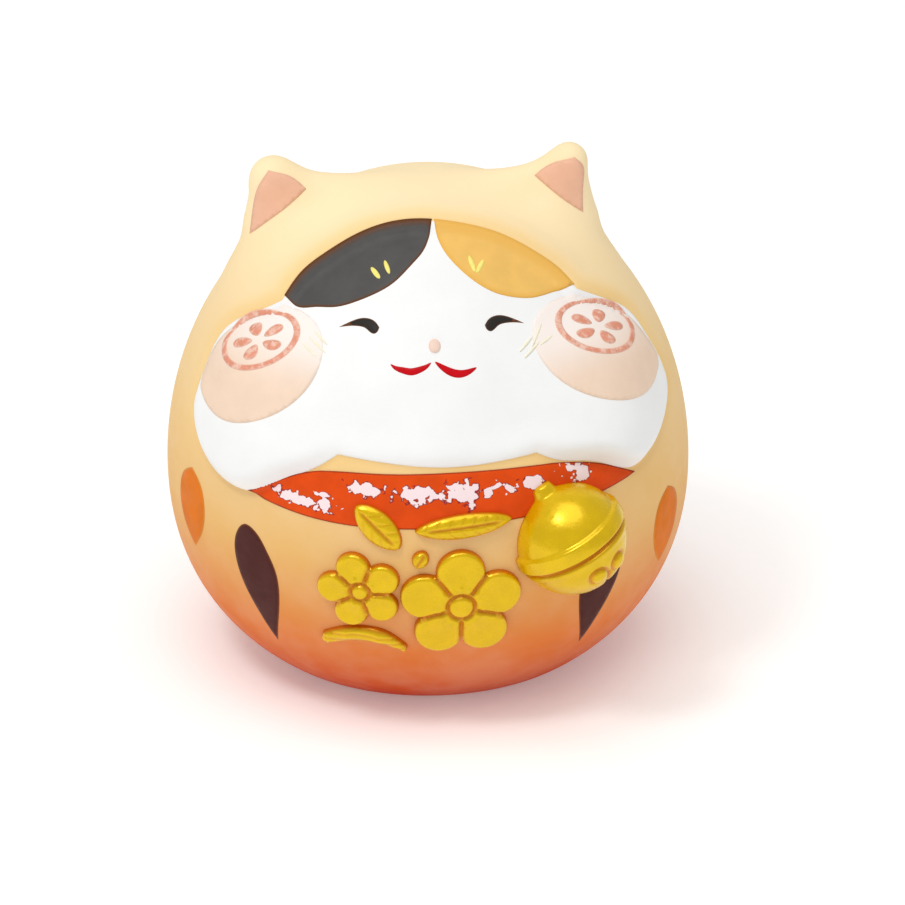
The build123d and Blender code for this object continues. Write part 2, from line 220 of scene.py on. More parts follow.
# ---------------------------------------------------------------- outlines
def smooth_curve(knots, step=0.35):
    """Natural cubic spline through knots, as evenly spaced points."""
    knots = np.asarray(knots, float)
    gaps = np.maximum(np.linalg.norm(np.diff(knots, axis=0), axis=1), 1e-6)
    at = np.concatenate([[0], np.cumsum(gaps)])
    slopes = np.diff(knots, axis=0) / gaps[:, None]
    matrix = np.eye(len(knots))
    right = np.zeros_like(knots)
    for index in range(1, len(knots) - 1):
        before, after = gaps[index - 1:index + 1]
        matrix[index, index - 1:index + 2] = before, 2 * (before + after), after
        right[index] = 6 * (slopes[index] - slopes[index - 1])
    bends = np.linalg.solve(matrix, right)
    count = max(int(round(at[-1] / step)), 3)
    where = np.linspace(0, at[-1], count + 1)
    span = np.clip(np.searchsorted(at, where, side="right") - 1, 0, len(gaps) - 1)
    gap = gaps[span][:, None]
    after = (where - at[span])[:, None]
    before = gap - after
    bent = (bends[span] * before**3 + bends[span + 1] * after**3) / (6 * gap)
    straight_start = (knots[span] / gap - bends[span] * gap / 6) * before
    straight_end = (knots[span + 1] / gap - bends[span + 1] * gap / 6) * after
    return bent + straight_start + straight_end


def closed_outline(*curves, step=0.35):
    """Points round a closed outline of smooth curves, end to end."""
    return np.vstack([smooth_curve(curve, step)[:-1] for curve in curves])


def round_turn(count):
    """Angles once round, evenly spaced."""
    return np.linspace(0, 2 * math.pi, count, endpoint=False)


def leaned(along, over, across=0.0, height=0.0, turn=0.0):
    """(across, height) points from distances along and over a line that is turned (deg)."""
    lean = math.radians(turn)
    return np.column_stack([across + along * math.cos(lean) - over * math.sin(lean),
                            height + along * math.sin(lean) + over * math.cos(lean)])


def straightened(points, across, height, turn):
    """Undoes leaned: distances along and over the turned line."""
    lean = math.radians(turn)
    x, z = points.T - np.array([[across], [height]])
    return x * math.cos(lean) + z * math.sin(lean), z * math.cos(lean) - x * math.sin(lean)


def oval_outline(across, height, half_length, half_breadth, turn=0.0, step=0.35):
    angle = round_turn(max(int(2 * math.pi * half_length / step), 16))
    return leaned(half_length * np.cos(angle), half_breadth * np.sin(angle), across, height, turn)


def mirrored(points):
    return [(-across, height) for across, height in points]


def distance_to_outline(points, outline):
    """Signed distance to a closed outline, positive inside."""
    best = np.full(len(points), 1e9)
    inside = np.zeros(len(points), bool)
    for start, end in zip(outline, np.roll(outline, -1, axis=0)):
        edge = end - start
        length2 = max(edge @ edge, 1e-12)
        offset = points - start
        share = np.clip(offset @ edge / length2, 0, 1)
        gap = offset - share[:, None] * edge
        best = np.minimum(best, np.einsum("ij,ij->i", gap, gap))
        straddles = (start[1] > points[:, 1]) != (end[1] > points[:, 1])
        slope = edge[1] if abs(edge[1]) > 1e-12 else 1e-12
        crosses = points[:, 0] < start[0] + (points[:, 1] - start[1]) * edge[0] / slope
        inside ^= straddles & crosses
    return np.where(inside, 1, -1) * np.sqrt(best)


# ---------------------------------------------------------------- face outline
LEFT_CORNER = (-27.6, 80.5)     # where each patch meets the side of the face
RIGHT_CORNER = (27.6, 81.2)
LEFT_CUSP = (-17.9, 58.5)
RIGHT_CUSP = (18.9, 57.9)
FACE_BROW = [LEFT_CORNER, (-24.3, 84.5), (-19.6, 88.0), (-14.0, 91.0), (-8.4, 92.9), (-2.7, 93.7),
             (5.7, 93.1), (13.2, 91.1), (20.7, 87.2), (24.4, 84.5), RIGHT_CORNER]
FACE_RIGHT = [RIGHT_CORNER, (33.2, 77.7), (37.6, 74.0), (40.9, 69.2), (43.6, 64.0), (45.0, 59.2),
              (44.4, 55.4), (42.0, 51.6), (38.2, 49.6), (33.3, 51.6), (28.3, 54.2), (23.3, 55.6),
              RIGHT_CUSP]
FACE_CHIN = [RIGHT_CUSP, (10.1, 57.3), (0.9, 57.1), (-8.3, 57.7), LEFT_CUSP]
FACE_LEFT = [LEFT_CUSP, (-23.0, 54.9), (-26.2, 53.0), (-30.0, 50.2), (-34.5, 47.9), (-39.0, 48.0),
             (-42.6, 50.3), (-44.4, 54.4), (-44.2, 59.4), (-42.3, 65.0), (-39.6, 70.6),
             (-36.8, 74.0), (-32.2, 77.5), LEFT_CORNER]
FACE_OUTLINE = closed_outline(FACE_BROW, FACE_RIGHT, FACE_CHIN, FACE_LEFT, step=0.5)
face_chart = Chart([0, -math.cos(math.radians(25)), math.sin(math.radians(25))])
FACE_FLAT = face_chart.flat(directions_to(FACE_OUTLINE))


def rise_and_fall(value, start, end):
    """0 at start, 1 at end, smooth between."""
    share = np.clip((value - start) / (end - start), 0, 1)
    return share * share * (3 - 2 * share)


def swelling(azimuth, height, spread, rise):
    """Round swelling centred on the body at this azimuth and height."""
    middle = CORE + directions_to([(0, height)], azimuth)[0] * CHART_RADIUS

    def at(points):
        gap = np.linalg.norm(points - middle, axis=1)
        return rise * np.exp(-gap**2 / (2 * spread**2))
    return at


HOOD_STEP = 1.9                 # how far the brow sits back under the hood
HOOD_RIM = 0.55                 # how far the hood's own edge swells out
CHIN_FOLD = 0.9                 # swelling along the lower edge of the face
EDGE_CREASE = 0.35              # line pressed round the cheeks and chin
CHEEK_BULGES = (                # azimuth, height, spread, rise; only inside the face
    (-51, 67, 9.5, 2.6),
    (51, 67, 9.5, 2.6),
    (-44, 55, 8.5, 2.2),
    (44, 55, 8.5, 2.2),
    (0, 74, 9.0, 0.9),
    (0, 58.5, 7.0, 0.8),
)
FACE_HOLLOWS = (
    (-15, 61, 6.0, -0.7),
    (15, 61, 6.0, -0.7),
    (0, 65.5, 6.5, -0.6),
    (-31, 79, 6.0, -0.7),
    (31, 79, 6.0, -0.7),
)
cheek_bulges = [swelling(*bulge) for bulge in CHEEK_BULGES]
face_hollows = [swelling(*hollow) for hollow in FACE_HOLLOWS]


def face_edge(directions):
    """Distance inside the face outline along the surface, -60 behind the face."""
    inside = distance_to_outline(face_chart.flat(directions), FACE_FLAT)
    behind = directions @ face_chart.middle < 0
    return np.where(behind, -60.0, inside)


def face_rise(directions):
    """How far the modelled face stands out of the plain body (less than 0: behind it)."""
    edge = face_edge(directions)
    near = CORE + directions * CHART_RADIUS
    height = near[:, 2]
    brow = rise_and_fall(height, 66, 82)
    recess = -HOOD_STEP * rise_and_fall(edge, -0.9, 2.6) * np.exp(-(np.maximum(edge, 0) / 13) ** 2)
    rim = HOOD_RIM * np.exp(-((edge + 3.2) / 2.8) ** 2)
    rise = brow * (recess + rim)
    within = rise_and_fall(edge, -0.6, 4.5)
    rise += within * sum(bulge(near) for bulge in cheek_bulges)
    rise += rise_and_fall(edge, 0, 3) * sum(hollow(near) for hollow in face_hollows)
    lower_edge = rise_and_fall(height, 66, 58)
    fold = rise_and_fall(edge, 0.2, 3.0) * np.exp(-(np.maximum(edge, 0) / 9) ** 2)
    rise += lower_edge * CHIN_FOLD * fold
    crease = (1 - brow) * EDGE_CREASE * np.exp(-((edge + 0.6) / 0.9) ** 2)
    return rise - crease


def on_surface(directions):
    """Points on the body in these directions, and its outward normals."""
    nudge = 0.004
    side = unit(np.cross(directions, np.array([0.31, 0.17, 0.94])))
    other = np.cross(directions, side)
    corners = []
    for shift in (0 * side, side * nudge, other * nudge):
        moved = unit(directions + shift)
        corners.append(CORE + moved * (plain_radius(moved) + face_rise(moved))[:, None])
    normals = unit(np.cross(corners[1] - corners[0], corners[2] - corners[0]))
    flip = np.sign(np.einsum("ij,ij->i", normals, directions))
    normals *= flip[:, None]
    return corners[0], normals


# ---------------------------------------------------------------- meshes
def make_piece(node, points, faces, material, values=None, body=FIGURE):
    """Shown piece for a CAD node. values holds one number per point for the material, by name."""
    name = node + "_piece"
    mesh = bpy.data.meshes.new(name)
    mesh.from_pydata([tuple(point * MM) for point in np.asarray(points)], [], faces)
    mesh.validate()
    for key, numbers in (values or {}).items():
        layer = mesh.attributes.new(key, "FLOAT", "POINT")
        layer.data.foreach_set("value", np.asarray(numbers, np.float32))
    mesh.polygons.foreach_set("use_smooth", [True] * len(mesh.polygons))
    mesh.materials.append(material)
    mesh.update()
    piece = bpy.data.objects.new(name, mesh)
    bpy.context.scene.collection.objects.link(piece)
    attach(piece, body)
    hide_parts(node)


def grid_faces(rows, columns, closed=False):
    """Quads over rings of points stored row by row; closed also joins the last row to the first."""
    faces = []
    for row in range(rows if closed else rows - 1):
        here = row * columns
        below = (row + 1) % rows * columns
        for column in range(columns):
            right = (column + 1) % columns
            faces.append((here + column, below + column, below + right, here + right))
    return faces


def capped_faces(rows, columns):
    """The grid, and fans to the two pole points stored after it."""
    faces = grid_faces(rows, columns)
    pole = rows * columns
    last = pole - columns
    for column in range(columns):
        right = (column + 1) % columns
        faces.append((pole, column, right))
        faces.append((pole + 1, last + right, last + column))
    return faces


def inward_rows(flat, offsets):
    """Copies of a closed outline, moved inward by each offset."""
    along = np.roll(flat, -1, axis=0) - np.roll(flat, 1, axis=0)
    inward = unit(np.column_stack([-along[:, 1], along[:, 0]]))
    probe = distance_to_outline(flat + inward * 0.01, flat)
    inward *= np.where(probe > 0, 1, -1)[:, None]
    rows = []
    for offset in offsets:
        row = flat + inward * offset
        rows.append(row[distance_to_outline(row, flat) > 0.85 * offset])
    return rows


def fill_outline(flat, spacing, offsets=()):
    """Triangles inside a flat outline. Returns points, triangles and each point's edge gap."""
    low = flat.min(axis=0)
    high = flat.max(axis=0)
    rows = inward_rows(flat, offsets)
    row_step = spacing * math.sqrt(3) / 2
    clear = max(offsets, default=0) + 0.45 * spacing
    grid = []
    for index, level in enumerate(np.arange(low[1], high[1], row_step)):
        start = low[0] + (index % 2) * spacing / 2
        across = np.arange(start, high[0], spacing)
        grid.append(np.column_stack([across, np.full(len(across), level)]))
    grid = np.vstack(grid)
    rows.append(grid[distance_to_outline(grid, flat) > clear])
    every = np.vstack([flat] + rows)
    count = len(flat)
    edges = [(index, (index + 1) % count) for index in range(count)]
    result = delaunay_2d_cdt([Vector(point) for point in every], edges, [], 1, 1e-5)
    points = np.array([tuple(point) for point in result[0]])
    gap = distance_to_outline(points, flat)
    return points, [tuple(face) for face in result[2]], np.maximum(gap, 0)


def close_sheet(top, bottom, faces):
    """Closed thin solid from a triangle sheet and its lower copy."""
    count = len(top)
    directed = set()
    for face in faces:
        for index, corner in enumerate(face):
            directed.add((corner, face[(index + 1) % len(face)]))
    closed = list(faces)
    closed += [tuple(corner + count for corner in reversed(face)) for face in faces]
    for start, end in directed:
        if (end, start) not in directed:
            closed.append((end, start, start + count, end + count))
    return np.vstack([top, bottom]), closed


def facing_out(points, faces, directions):
    """Flips the faces if they wind towards the inside."""
    some = np.array(faces[:50])
    corner, second, third = points[some[:, 0]], points[some[:, 1]], points[some[:, 2]]
    normal = np.cross(second - corner, third - corner)
    if (normal * directions[some[:, 0]]).sum() < 0:
        return [tuple(reversed(face)) for face in faces]
    return faces


SUNK = 0.3                      # how deep a coat's hidden back lies inside the clay


def lay_sheet(outline, height_of, spacing, azimuth=0.0, offsets=(), chart=None):
    """Closed piece on the body inside an outline. height_of(points, gap) is its lift.

    The outline holds (across, height) points, or points of the chart if there is one.
    """
    points, faces, gap = fill_outline(outline, spacing, offsets)
    directions = chart.directions(points) if chart else directions_to(points, azimuth)
    surface, normals = on_surface(directions)
    top = surface + normals * height_of(points, gap)[:, None]
    bottom = surface - normals * SUNK
    faces = facing_out(top, faces, directions)
    closed, closed_faces = close_sheet(top, bottom, faces)
    return closed, closed_faces, points, gap


def join_sheets(sheets):
    """One set of points and faces from several."""
    points = []
    faces = []
    for sheet_points, sheet_faces in sheets:
        start = sum(len(part) for part in points)
        points.append(sheet_points)
        faces += [tuple(corner + start for corner in face) for face in sheet_faces]
    return np.vstack(points), faces


EDGE_SOFTNESS = 0.7             # width over which a coat thins to its edge


def coat_height(lift):
    """Thin coat, a little lower at its edge."""
    def height_of(points, gap):
        return lift - 0.07 * (1 - rise_and_fall(gap, 0, EDGE_SOFTNESS))
    return height_of


def paint_coat(node, outlines, height_of, material, spacing=0.9, azimuths=None,
               values_of=None, offsets=(), chart=None):
    """One node's coat of paint, over one or more outlines."""
    sheets = []
    values = {"edge_gap": []}
    for index, outline in enumerate(outlines):
        azimuth = azimuths[index] if azimuths else 0.0
        height_here = height_of[index] if isinstance(height_of, list) else height_of
        closed, faces, points, gap = lay_sheet(outline, height_here, spacing, azimuth, offsets, chart)
        sheets.append((closed, faces))
        values["edge_gap"].append(np.tile(gap, 2))
        values_here = values_of[index] if isinstance(values_of, list) else values_of
        if values_here:
            for key, numbers in values_here(points, gap).items():
                values.setdefault(key, []).append(np.tile(numbers, 2))
    points, faces = join_sheets(sheets)
    values = {key: np.concatenate(parts) for key, parts in values.items()}
    make_piece(node, points, faces, material, values)


# ---------------------------------------------------------------- materials
def srgb(red, green, blue):
    """Linear colour from the usual 0-255 values."""
    channels = []
    for value in (red, green, blue):
        share = value / 255
        channels.append(share / 12.92 if share <= 0.04045 else ((share + 0.055) / 1.055) ** 2.4)
    return (*channels, 1.0)


class Shader:
    """A material with a Principled node, and short calls that add nodes to it."""

    def __init__(self, name):
        self.material = bpy.data.materials.new(name)
        self.material.use_nodes = True
        self.tree = self.material.node_tree
        self.surface = self.tree.nodes["Principled BSDF"]
        self.place = self.node("ShaderNodeTexCoord").outputs["Object"]

    def node(self, kind, **settings):
        made = self.tree.nodes.new(kind)
        for key, value in settings.items():
            setattr(made, key, value)
        return made

    def link(self, source, socket):
        self.tree.links.new(source, socket)

    def feed(self, socket, value):
        if isinstance(value, bpy.types.NodeSocket):
            self.link(value, socket)
        else:
            socket.default_value = value

    def set(self, **inputs):
        for key, value in inputs.items():
            self.feed(self.surface.inputs[key.replace("_", " ")], value)

    def noise(self, size, detail=3.0, roughness=0.55, stretch=None, distortion=0.0):
        """Noise whose blotches are about size millimetres wide."""
        made = self.node("ShaderNodeTexNoise")
        made.inputs["Scale"].default_value = 1 / (size * MM)
        made.inputs["Detail"].default_value = detail
        made.inputs["Roughness"].default_value = roughness
        made.inputs["Distortion"].default_value = distortion
        place = self.place
        if stretch:
            mapping = self.node("ShaderNodeMapping")
            mapping.inputs["Scale"].default_value = stretch
            self.link(place, mapping.inputs["Vector"])
            place = mapping.outputs["Vector"]
        self.link(place, made.inputs["Vector"])
        return made.outputs["Fac"]

    def attribute(self, name):
        return self.node("ShaderNodeAttribute", attribute_name=name).outputs["Fac"]

    def height(self):
        """Height above the foot in metres."""
        split = self.node("ShaderNodeSeparateXYZ")
        self.link(self.place, split.inputs["Vector"])
        return split.outputs["Z"]

    def ramp(self, source, low, high, bottom=0.0, top=1.0, smooth=True):
        """Maps low..high to bottom..top."""
        made = self.node("ShaderNodeMapRange")
        made.interpolation_type = "SMOOTHSTEP" if smooth else "LINEAR"
        self.link(source, made.inputs["Value"])
        made.inputs["From Min"].default_value = low
        made.inputs["From Max"].default_value = high
        made.inputs["To Min"].default_value = bottom
        made.inputs["To Max"].default_value = top
        return made.outputs["Result"]

    def vary(self, size, low, high, detail=3.0):
        """Wanders between low and high in blotches of this size."""
        return self.ramp(self.noise(size, detail), 0.3, 0.7, low, high)

    def paint(self, base, rough):
        """Dull coat: its sheen is weak, so that a pale studio doesn't veil the colour."""
        self.set(Base_Color=base, Roughness=rough, Specular_IOR_Level=0.12)

    def mix(self, share, first, second):
        made = self.node("ShaderNodeMix", data_type="RGBA")
        self.feed(made.inputs["Factor"], share)
        self.feed(made.inputs[6], first)
        self.feed(made.inputs[7], second)
        return made.outputs[2]

    def math(self, operation, first, second=0.0):
        made = self.node("ShaderNodeMath", operation=operation)
        self.feed(made.inputs[0], first)
        self.feed(made.inputs[1], second)
        return made.outputs["Value"]

    def bump(self, *layers):
        """Adds (height source, depth in millimetres) layers as bump."""
        normal = None
        for source, depth in layers:
            made = self.node("ShaderNodeBump")
            made.inputs["Distance"].default_value = depth * MM
            self.link(source, made.inputs["Height"])
            if normal:
                self.link(normal, made.inputs["Normal"])
            normal = made.outputs["Normal"]
        self.link(normal, self.surface.inputs["Normal"])


def mottled(shader, colour, depth=0.06, size=6.0):
    """The colour, a little lighter and darker in soft brush-sized patches."""
    light = tuple(min(channel * (1 + depth), 1.0) for channel in colour[:3]) + (1.0,)
    dark = tuple(channel * (1 - depth) for channel in colour[:3]) + (1.0,)
    return shader.mix(shader.vary(size, 0.0, 1.0, 4.0), dark, light)


def matte_paint(name, colour, roughness=0.62, depth=0.05, size=6.0, edge=None, edge_width=0.5):
    """Chalky figure paint: soft mottling, brush drag and a fine tooth."""
    shader = Shader(name)
    base = mottled(shader, colour, depth, size)
    if edge:
        near = shader.ramp(shader.attribute("edge_gap"), 0.0, edge_width, 1.0, 0.0)
        base = shader.mix(near, base, edge)
    shader.paint(base, shader.vary(3.0, roughness - 0.07, roughness + 0.07))
    drag = shader.noise(1.6, 3.0, stretch=(1.0, 1.0, 3.5))
    tooth = shader.noise(0.35, 2.0)
    shader.bump((drag, 0.035), (tooth, 0.02))
    return shader.material


# Orange towards the foot: partly airbrushed paint, partly painted red reflection from below.
CLAY_PAINT_AND_RED_REFLECTION_BANDS = (                  # height in metres where each colour starts and is full
    (0.092, 0.055, (242, 204, 140)),
    (0.055, 0.038, (236, 186, 112)),
    (0.038, 0.018, (226, 124, 54)),
    (0.018, 0.002, (196, 58, 10)),
)


def cream_clay():
    """Cream ground of the body, deeper yellow along the crease round the face, and orange towards the
    foot that is partly airbrushed paint and partly painted red reflection from below.
    """
    shader = Shader("cream_clay")
    height = shader.height()
    base = srgb(255, 232, 186)
    # painted red reflection from below, mixed with the airbrushed orange towards the foot
    for start, end, colour in CLAY_PAINT_AND_RED_REFLECTION_BANDS:
        base = shader.mix(shader.ramp(height, start, end, smooth=False), base, srgb(*colour))
    # deeper yellow along the crease round the face, strongest under the brow
    base = shader.mix(shader.attribute("crease"), base, srgb(243, 196, 104))
    base = shader.mix(shader.vary(14.0, 0.0, 0.10), base, srgb(255, 240, 212))
    speck = shader.ramp(shader.noise(0.9, 2.0), 0.72, 0.80, 0.0, 0.10)
    base = shader.mix(speck, base, srgb(190, 130, 80))
    base = shader.mix(shader.attribute("bare"), base, srgb(226, 196, 170))
    shader.paint(base, shader.vary(4.0, 0.52, 0.66))
    shader.bump((shader.noise(2.6, 3.0), 0.05), (shader.noise(0.4, 2.0), 0.02))
    return shader.material


def gold_paint():
    """Thick yellow gold paint over relief, with painted shade in brown-orange in the grooves and along
    the edges.
    """
    shader = Shader("gold_paint")
    gold = mottled(shader, srgb(228, 188, 0), 0.04, 3.0)
    # painted shade: brown-orange wherever the groove attribute marks a groove, an edge or the bell's
    # seat
    base = shader.mix(shader.attribute("groove"), gold, srgb(204, 112, 4))
    rough = shader.vary(1.2, 0.18, 0.28, 4.0)
    shader.set(Base_Color=base, Roughness=rough, Metallic=0.36, Specular_IOR_Level=0.4)
    shader.bump((shader.noise(1.8, 3.0), 0.06), (shader.noise(0.35, 3.0), 0.015))
    return shader.material


def collar_paint():
    """Vermilion cloth colour with a row of irregular pale dye marks along the middle."""
    shader = Shader("vermilion_paint")
    red = mottled(shader, srgb(226, 76, 12), 0.08, 5.0)
    ragged = shader.noise(1.5, 2.0, 0.45, distortion=0.3)
    ragged = shader.math("MULTIPLY", shader.math("SUBTRACT", ragged, 0.5), 2.6)
    level = shader.math("ADD", shader.attribute("mark"), ragged)
    droplet = shader.math("ADD", shader.noise(1.05, 1.0, 0.4), shader.attribute("row"))
    level = shader.math("MAXIMUM", level, shader.ramp(droplet, 0.62, 0.74, -0.6, 0.6))
    mark = shader.ramp(level, 0.0, 0.12)
    outline = shader.ramp(level, -0.16, -0.04)
    base = shader.mix(outline, red, srgb(152, 44, 40))
    base = shader.mix(mark, base, srgb(252, 230, 232))
    edge = shader.ramp(shader.attribute("edge_gap"), 0.0, 0.35, 1.0, 0.0)
    base = shader.mix(edge, base, srgb(150, 48, 22))
    shader.paint(base, shader.vary(3.0, 0.5, 0.64))
    shader.bump((mark, 0.05), (shader.noise(0.35, 2.0), 0.02))
    return shader.material


def soft_plug_material():
    """Milky, slightly translucent soft plastic with faint scuffs."""
    shader = Shader("soft_plug")
    base = mottled(shader, srgb(226, 222, 212), 0.05, 4.0)
    shader.set(Base_Color=base, Roughness=shader.vary(2.0, 0.42, 0.6))
    shader.set(Subsurface_Weight=0.25, Subsurface_Scale=0.004)
    shader.bump((shader.noise(0.6, 3.0), 0.02))
    return shader.material


def blush_paint():
    """Peach disc, whiter towards the top."""
    shader = Shader("blush_paint")
    low = mottled(shader, srgb(242, 214, 190), 0.025, 5.0)
    fade = shader.ramp(shader.attribute("fade"), 0.0, 1.0)
    base = shader.mix(fade, low, srgb(250, 240, 233))
    shader.paint(base, 0.62)
    shader.bump((shader.noise(0.35, 2.0), 0.02), (shader.noise(2.0, 3.0), 0.02))
    return shader.material


def seal_ink():
    """Stamp ink that took unevenly, from terracotta to a faint trace."""
    shader = Shader("seal_ink")
    ink = mottled(shader, srgb(226, 150, 124), 0.05, 2.0)
    worn = shader.ramp(shader.noise(1.6, 5.0, 0.7), 0.45, 0.66, 0.0, 0.75)
    edge = shader.ramp(shader.attribute("edge_gap"), 0.0, 0.22, 0.7, 0.0)
    base = shader.mix(worn, ink, srgb(245, 216, 198))
    base = shader.mix(edge, base, srgb(242, 205, 186))
    shader.paint(base, 0.6)
    shader.bump((shader.noise(0.5, 3.0), 0.02))
    return shader.material


# ---------------------------------------------------------------- clay body
SEGMENTS = 360
OUTER_ROWS = 222
INNER_ROWS = 29
FRONT_CROWDING = 0.35           # more of the mesh lies on the face than on the back
UNDER_PAINT = 0.12              # the clay is this much lower under the face white


def eased_corners(corners, reach, steps=5):
    """Each inner corner of a profile as a small curve that starts and ends at reach from it."""
    eased = []
    for before, corner, after in zip(corners, corners[1:], corners[2:]):
        start = corner + unit(before - corner) * reach
        end = corner + unit(after - corner) * reach
        for share in np.linspace(0, 1, steps):
            eased.append(start * (1 - share)**2 + 2 * corner * share * (1 - share) + end * share**2)
    return eased


def directions_round(ahead, tilts):
    """Directions from CORE, one ring for each tilt away from straight up."""
    rings = [np.hstack([ahead * math.sin(tilt), np.full((len(ahead), 1), math.cos(tilt))])
             for tilt in tilts]
    return np.vstack(rings)


def build_shell():
    """Hollow shell as one closed mesh: outside, foot ring, recess, drain hole and inside."""
    turn = np.linspace(-math.pi, math.pi, SEGMENTS, endpoint=False)
    azimuth = turn - FRONT_CROWDING * np.sin(turn)
    ahead = np.column_stack([np.sin(azimuth), -np.cos(azimuth)])
    last = math.pi - math.atan2(FOOT_RING, CORE[2])
    directions = directions_round(ahead, np.linspace(0, last, OUTER_ROWS + 1)[1:])
    radius = plain_radius(directions) + face_rise(directions)
    edge = face_edge(directions)
    radius -= UNDER_PAINT * rise_and_fall(edge, 0.3, 1.2)
    outer = CORE + directions * radius[:, None]
    height = outer[:, 2]
    # strength of the deeper yellow along the crease round the face, stronger towards the brow
    rim = np.exp(-((edge + 0.6) / 2.6) ** 2) * (0.22 + 0.30 * rise_and_fall(height, 64, 80))
    crease = rim * rise_and_fall(height, 47, 60)

    floor_top = FOOT_RECESS + WALL
    corners = [(FOOT_RING + 1, 0), (FOOT_RING - 0.5, 0), (FOOT_RING - 0.5, FOOT_RECESS),
               (HOLE, FOOT_RECESS), (HOLE, floor_top), (FOOT_RING, floor_top)]
    rows = [outer]
    for distance, level in eased_corners(np.array(corners, float), 0.4):
        ring = np.column_stack([ahead * distance, np.full(SEGMENTS, level)])
        rows.append(ring)
    lowest = math.pi - math.atan2(FOOT_RING - 4, CORE[2] - floor_top)
    inward = directions_round(ahead, np.linspace(lowest, 0, INNER_ROWS + 1)[:-1])

    def in_hollow(reach):
        return egg_distance(CORE + inward * reach[:, None]) < -WALL

    inner = CORE + inward * first_crossing(in_hollow, len(inward), 10, 85)[:, None]
    inner[:, 2] = np.maximum(inner[:, 2], floor_top)
    points = np.vstack(rows + [inner])
    faces = capped_faces(len(points) // SEGMENTS, SEGMENTS)
    hidden = len(points) - len(outer)
    crown = [0, 0, BELLY + UPPER]
    ceiling = [0, 0, BELLY + UPPER - WALL]
    points = np.vstack([points, crown, ceiling])
    bare = rise_and_fall(height, 0.25, 0.02)
    values = {
        "crease": np.concatenate([crease, np.zeros(hidden + 2)]),
        "bare": np.concatenate([bare, np.ones(hidden), [0, 1]]),
    }
    make_piece("body_shell", points, faces, cream_clay(), values)


build_shell()

# ---------------------------------------------------------------- painted face
FIRST = 0.14                    # lift of the first, second and third coats
SECOND = 0.24
THIRD = 0.33

white = matte_paint("white_paint", srgb(246, 246, 245), 0.6, 0.012, 8.0)
HOOD_ROWS = (0.3, 0.65, 1.05, 1.5, 2.0, 2.6)     # mesh rows that follow the step under the hood
paint_coat("face_white", [FACE_FLAT], coat_height(FIRST), white, 0.7,
           offsets=HOOD_ROWS, chart=face_chart)

PARTING = 0.8                   # how far right of the middle the two patches meet
PATCH_UNDER = {                 # lower edge of each patch, from its corner to the parting
    -1: [(-26.1, 80.8), (-22.3, 81.4), (-18.4, 82.1), (-14.6, 83.2), (-10.7, 84.6), (-6.9, 86.4),
         (-3.1, 89.3), (-1.1, 91.0)],
    1: [(24.2, 82.4), (20.0, 82.6), (16.0, 83.3), (12.1, 84.4), (8.3, 86.3), (4.7, 89.0),
        (2.4, 91.4)],
}


def patch_outline(side):
    """From the parting along the brow to the corner of the face, and back under it."""
    brow = smooth_curve(FACE_BROW, 0.4) + np.array([0, 0.12])
    brow = brow[np.argsort(side * brow[:, 0])]
    corner = RIGHT_CORNER if side > 0 else LEFT_CORNER
    along = side * brow[:, 0]
    brow = brow[(along > side * PARTING) & (along < abs(corner[0]) - 0.3)]
    under = smooth_curve([brow[-1]] + PATCH_UNDER[side] + [brow[0]], 0.4)
    return np.vstack([brow, under[1:-1]])


charcoal = matte_paint("charcoal_paint", srgb(84, 82, 80), 0.5, 0.07, 5.0,
                       edge=srgb(104, 62, 30), edge_width=0.5)
ochre = matte_paint("ochre_paint", srgb(240, 192, 104), 0.6, 0.04, 5.0,
                    edge=srgb(236, 182, 88), edge_width=1.0)
for side, node, paint, slot in ((-1, "patch_dark", charcoal, "charcoal_paint"),
                                (1, "patch_orange", ochre, "ochre_paint")):
    paint_coat(node, [patch_outline(side)], coat_height(SECOND), paint, 0.6,
               offsets=HOOD_ROWS)

EYE_OVER = [(9.7, 79.8), (10.3, 80.5), (12.3, 81.1), (14.6, 80.6), (17.4, 79.3)]
EYE_UNDER = [(17.4, 79.3), (15.4, 79.7), (13.7, 79.8), (12.4, 79.6), (11.6, 79.1)]
EYE_END = [(11.6, 79.1), (10.8, 78.8), (10.1, 79.1), (9.7, 79.8)]


def eye_outline(side):
    """Closed smiling eye: a tapering arc that ends in a rounded drop near the nose."""
    curves = [EYE_OVER, EYE_UNDER, EYE_END]
    if side < 0:
        curves = [mirrored(curve) for curve in curves]
    return closed_outline(*curves, step=0.2)


enamel = matte_paint("black_enamel", srgb(46, 42, 38), 0.4, 0.08, 2.0,
                     edge=srgb(110, 66, 40), edge_width=0.22)
for side, name in ((-1, "left"), (1, "right")):
    paint_coat("eye_" + name, [eye_outline(side)], coat_height(SECOND), enamel, 0.4)


def brush_stroke(knots, half_width, step=0.2):
    """Outline of a stroke along a curve, widest in the middle and pointed at both ends."""
    middle = smooth_curve(knots, step)
    along = unit(np.gradient(middle, axis=0))
    across = np.column_stack([-along[:, 1], along[:, 0]])
    share = np.linspace(0, 1, len(middle))
    width = (half_width * np.sin(math.pi * share) ** 0.6)[:, None]
    over = middle + across * width
    under = middle - across * width
    return np.vstack([over, under[-2:0:-1]])


MOUTH_STROKES = (
    [(-7.8, 74.3), (-7.0, 73.8), (-5.5, 73.4), (-4.1, 73.2), (-2.6, 73.5), (-1.1, 74.1), (-0.4, 74.6)],
    [(0.3, 74.7), (1.5, 73.9), (3.3, 73.0), (4.8, 72.7), (6.3, 72.9), (7.9, 73.5)],
)
red = matte_paint("red_enamel", srgb(198, 8, 22), 0.38, 0.08, 2.0)
mouth = [brush_stroke(knots, half_width) for knots, half_width in zip(MOUTH_STROKES, (0.55, 0.62))]
paint_coat("mouth", mouth, coat_height(SECOND), red, 0.3)


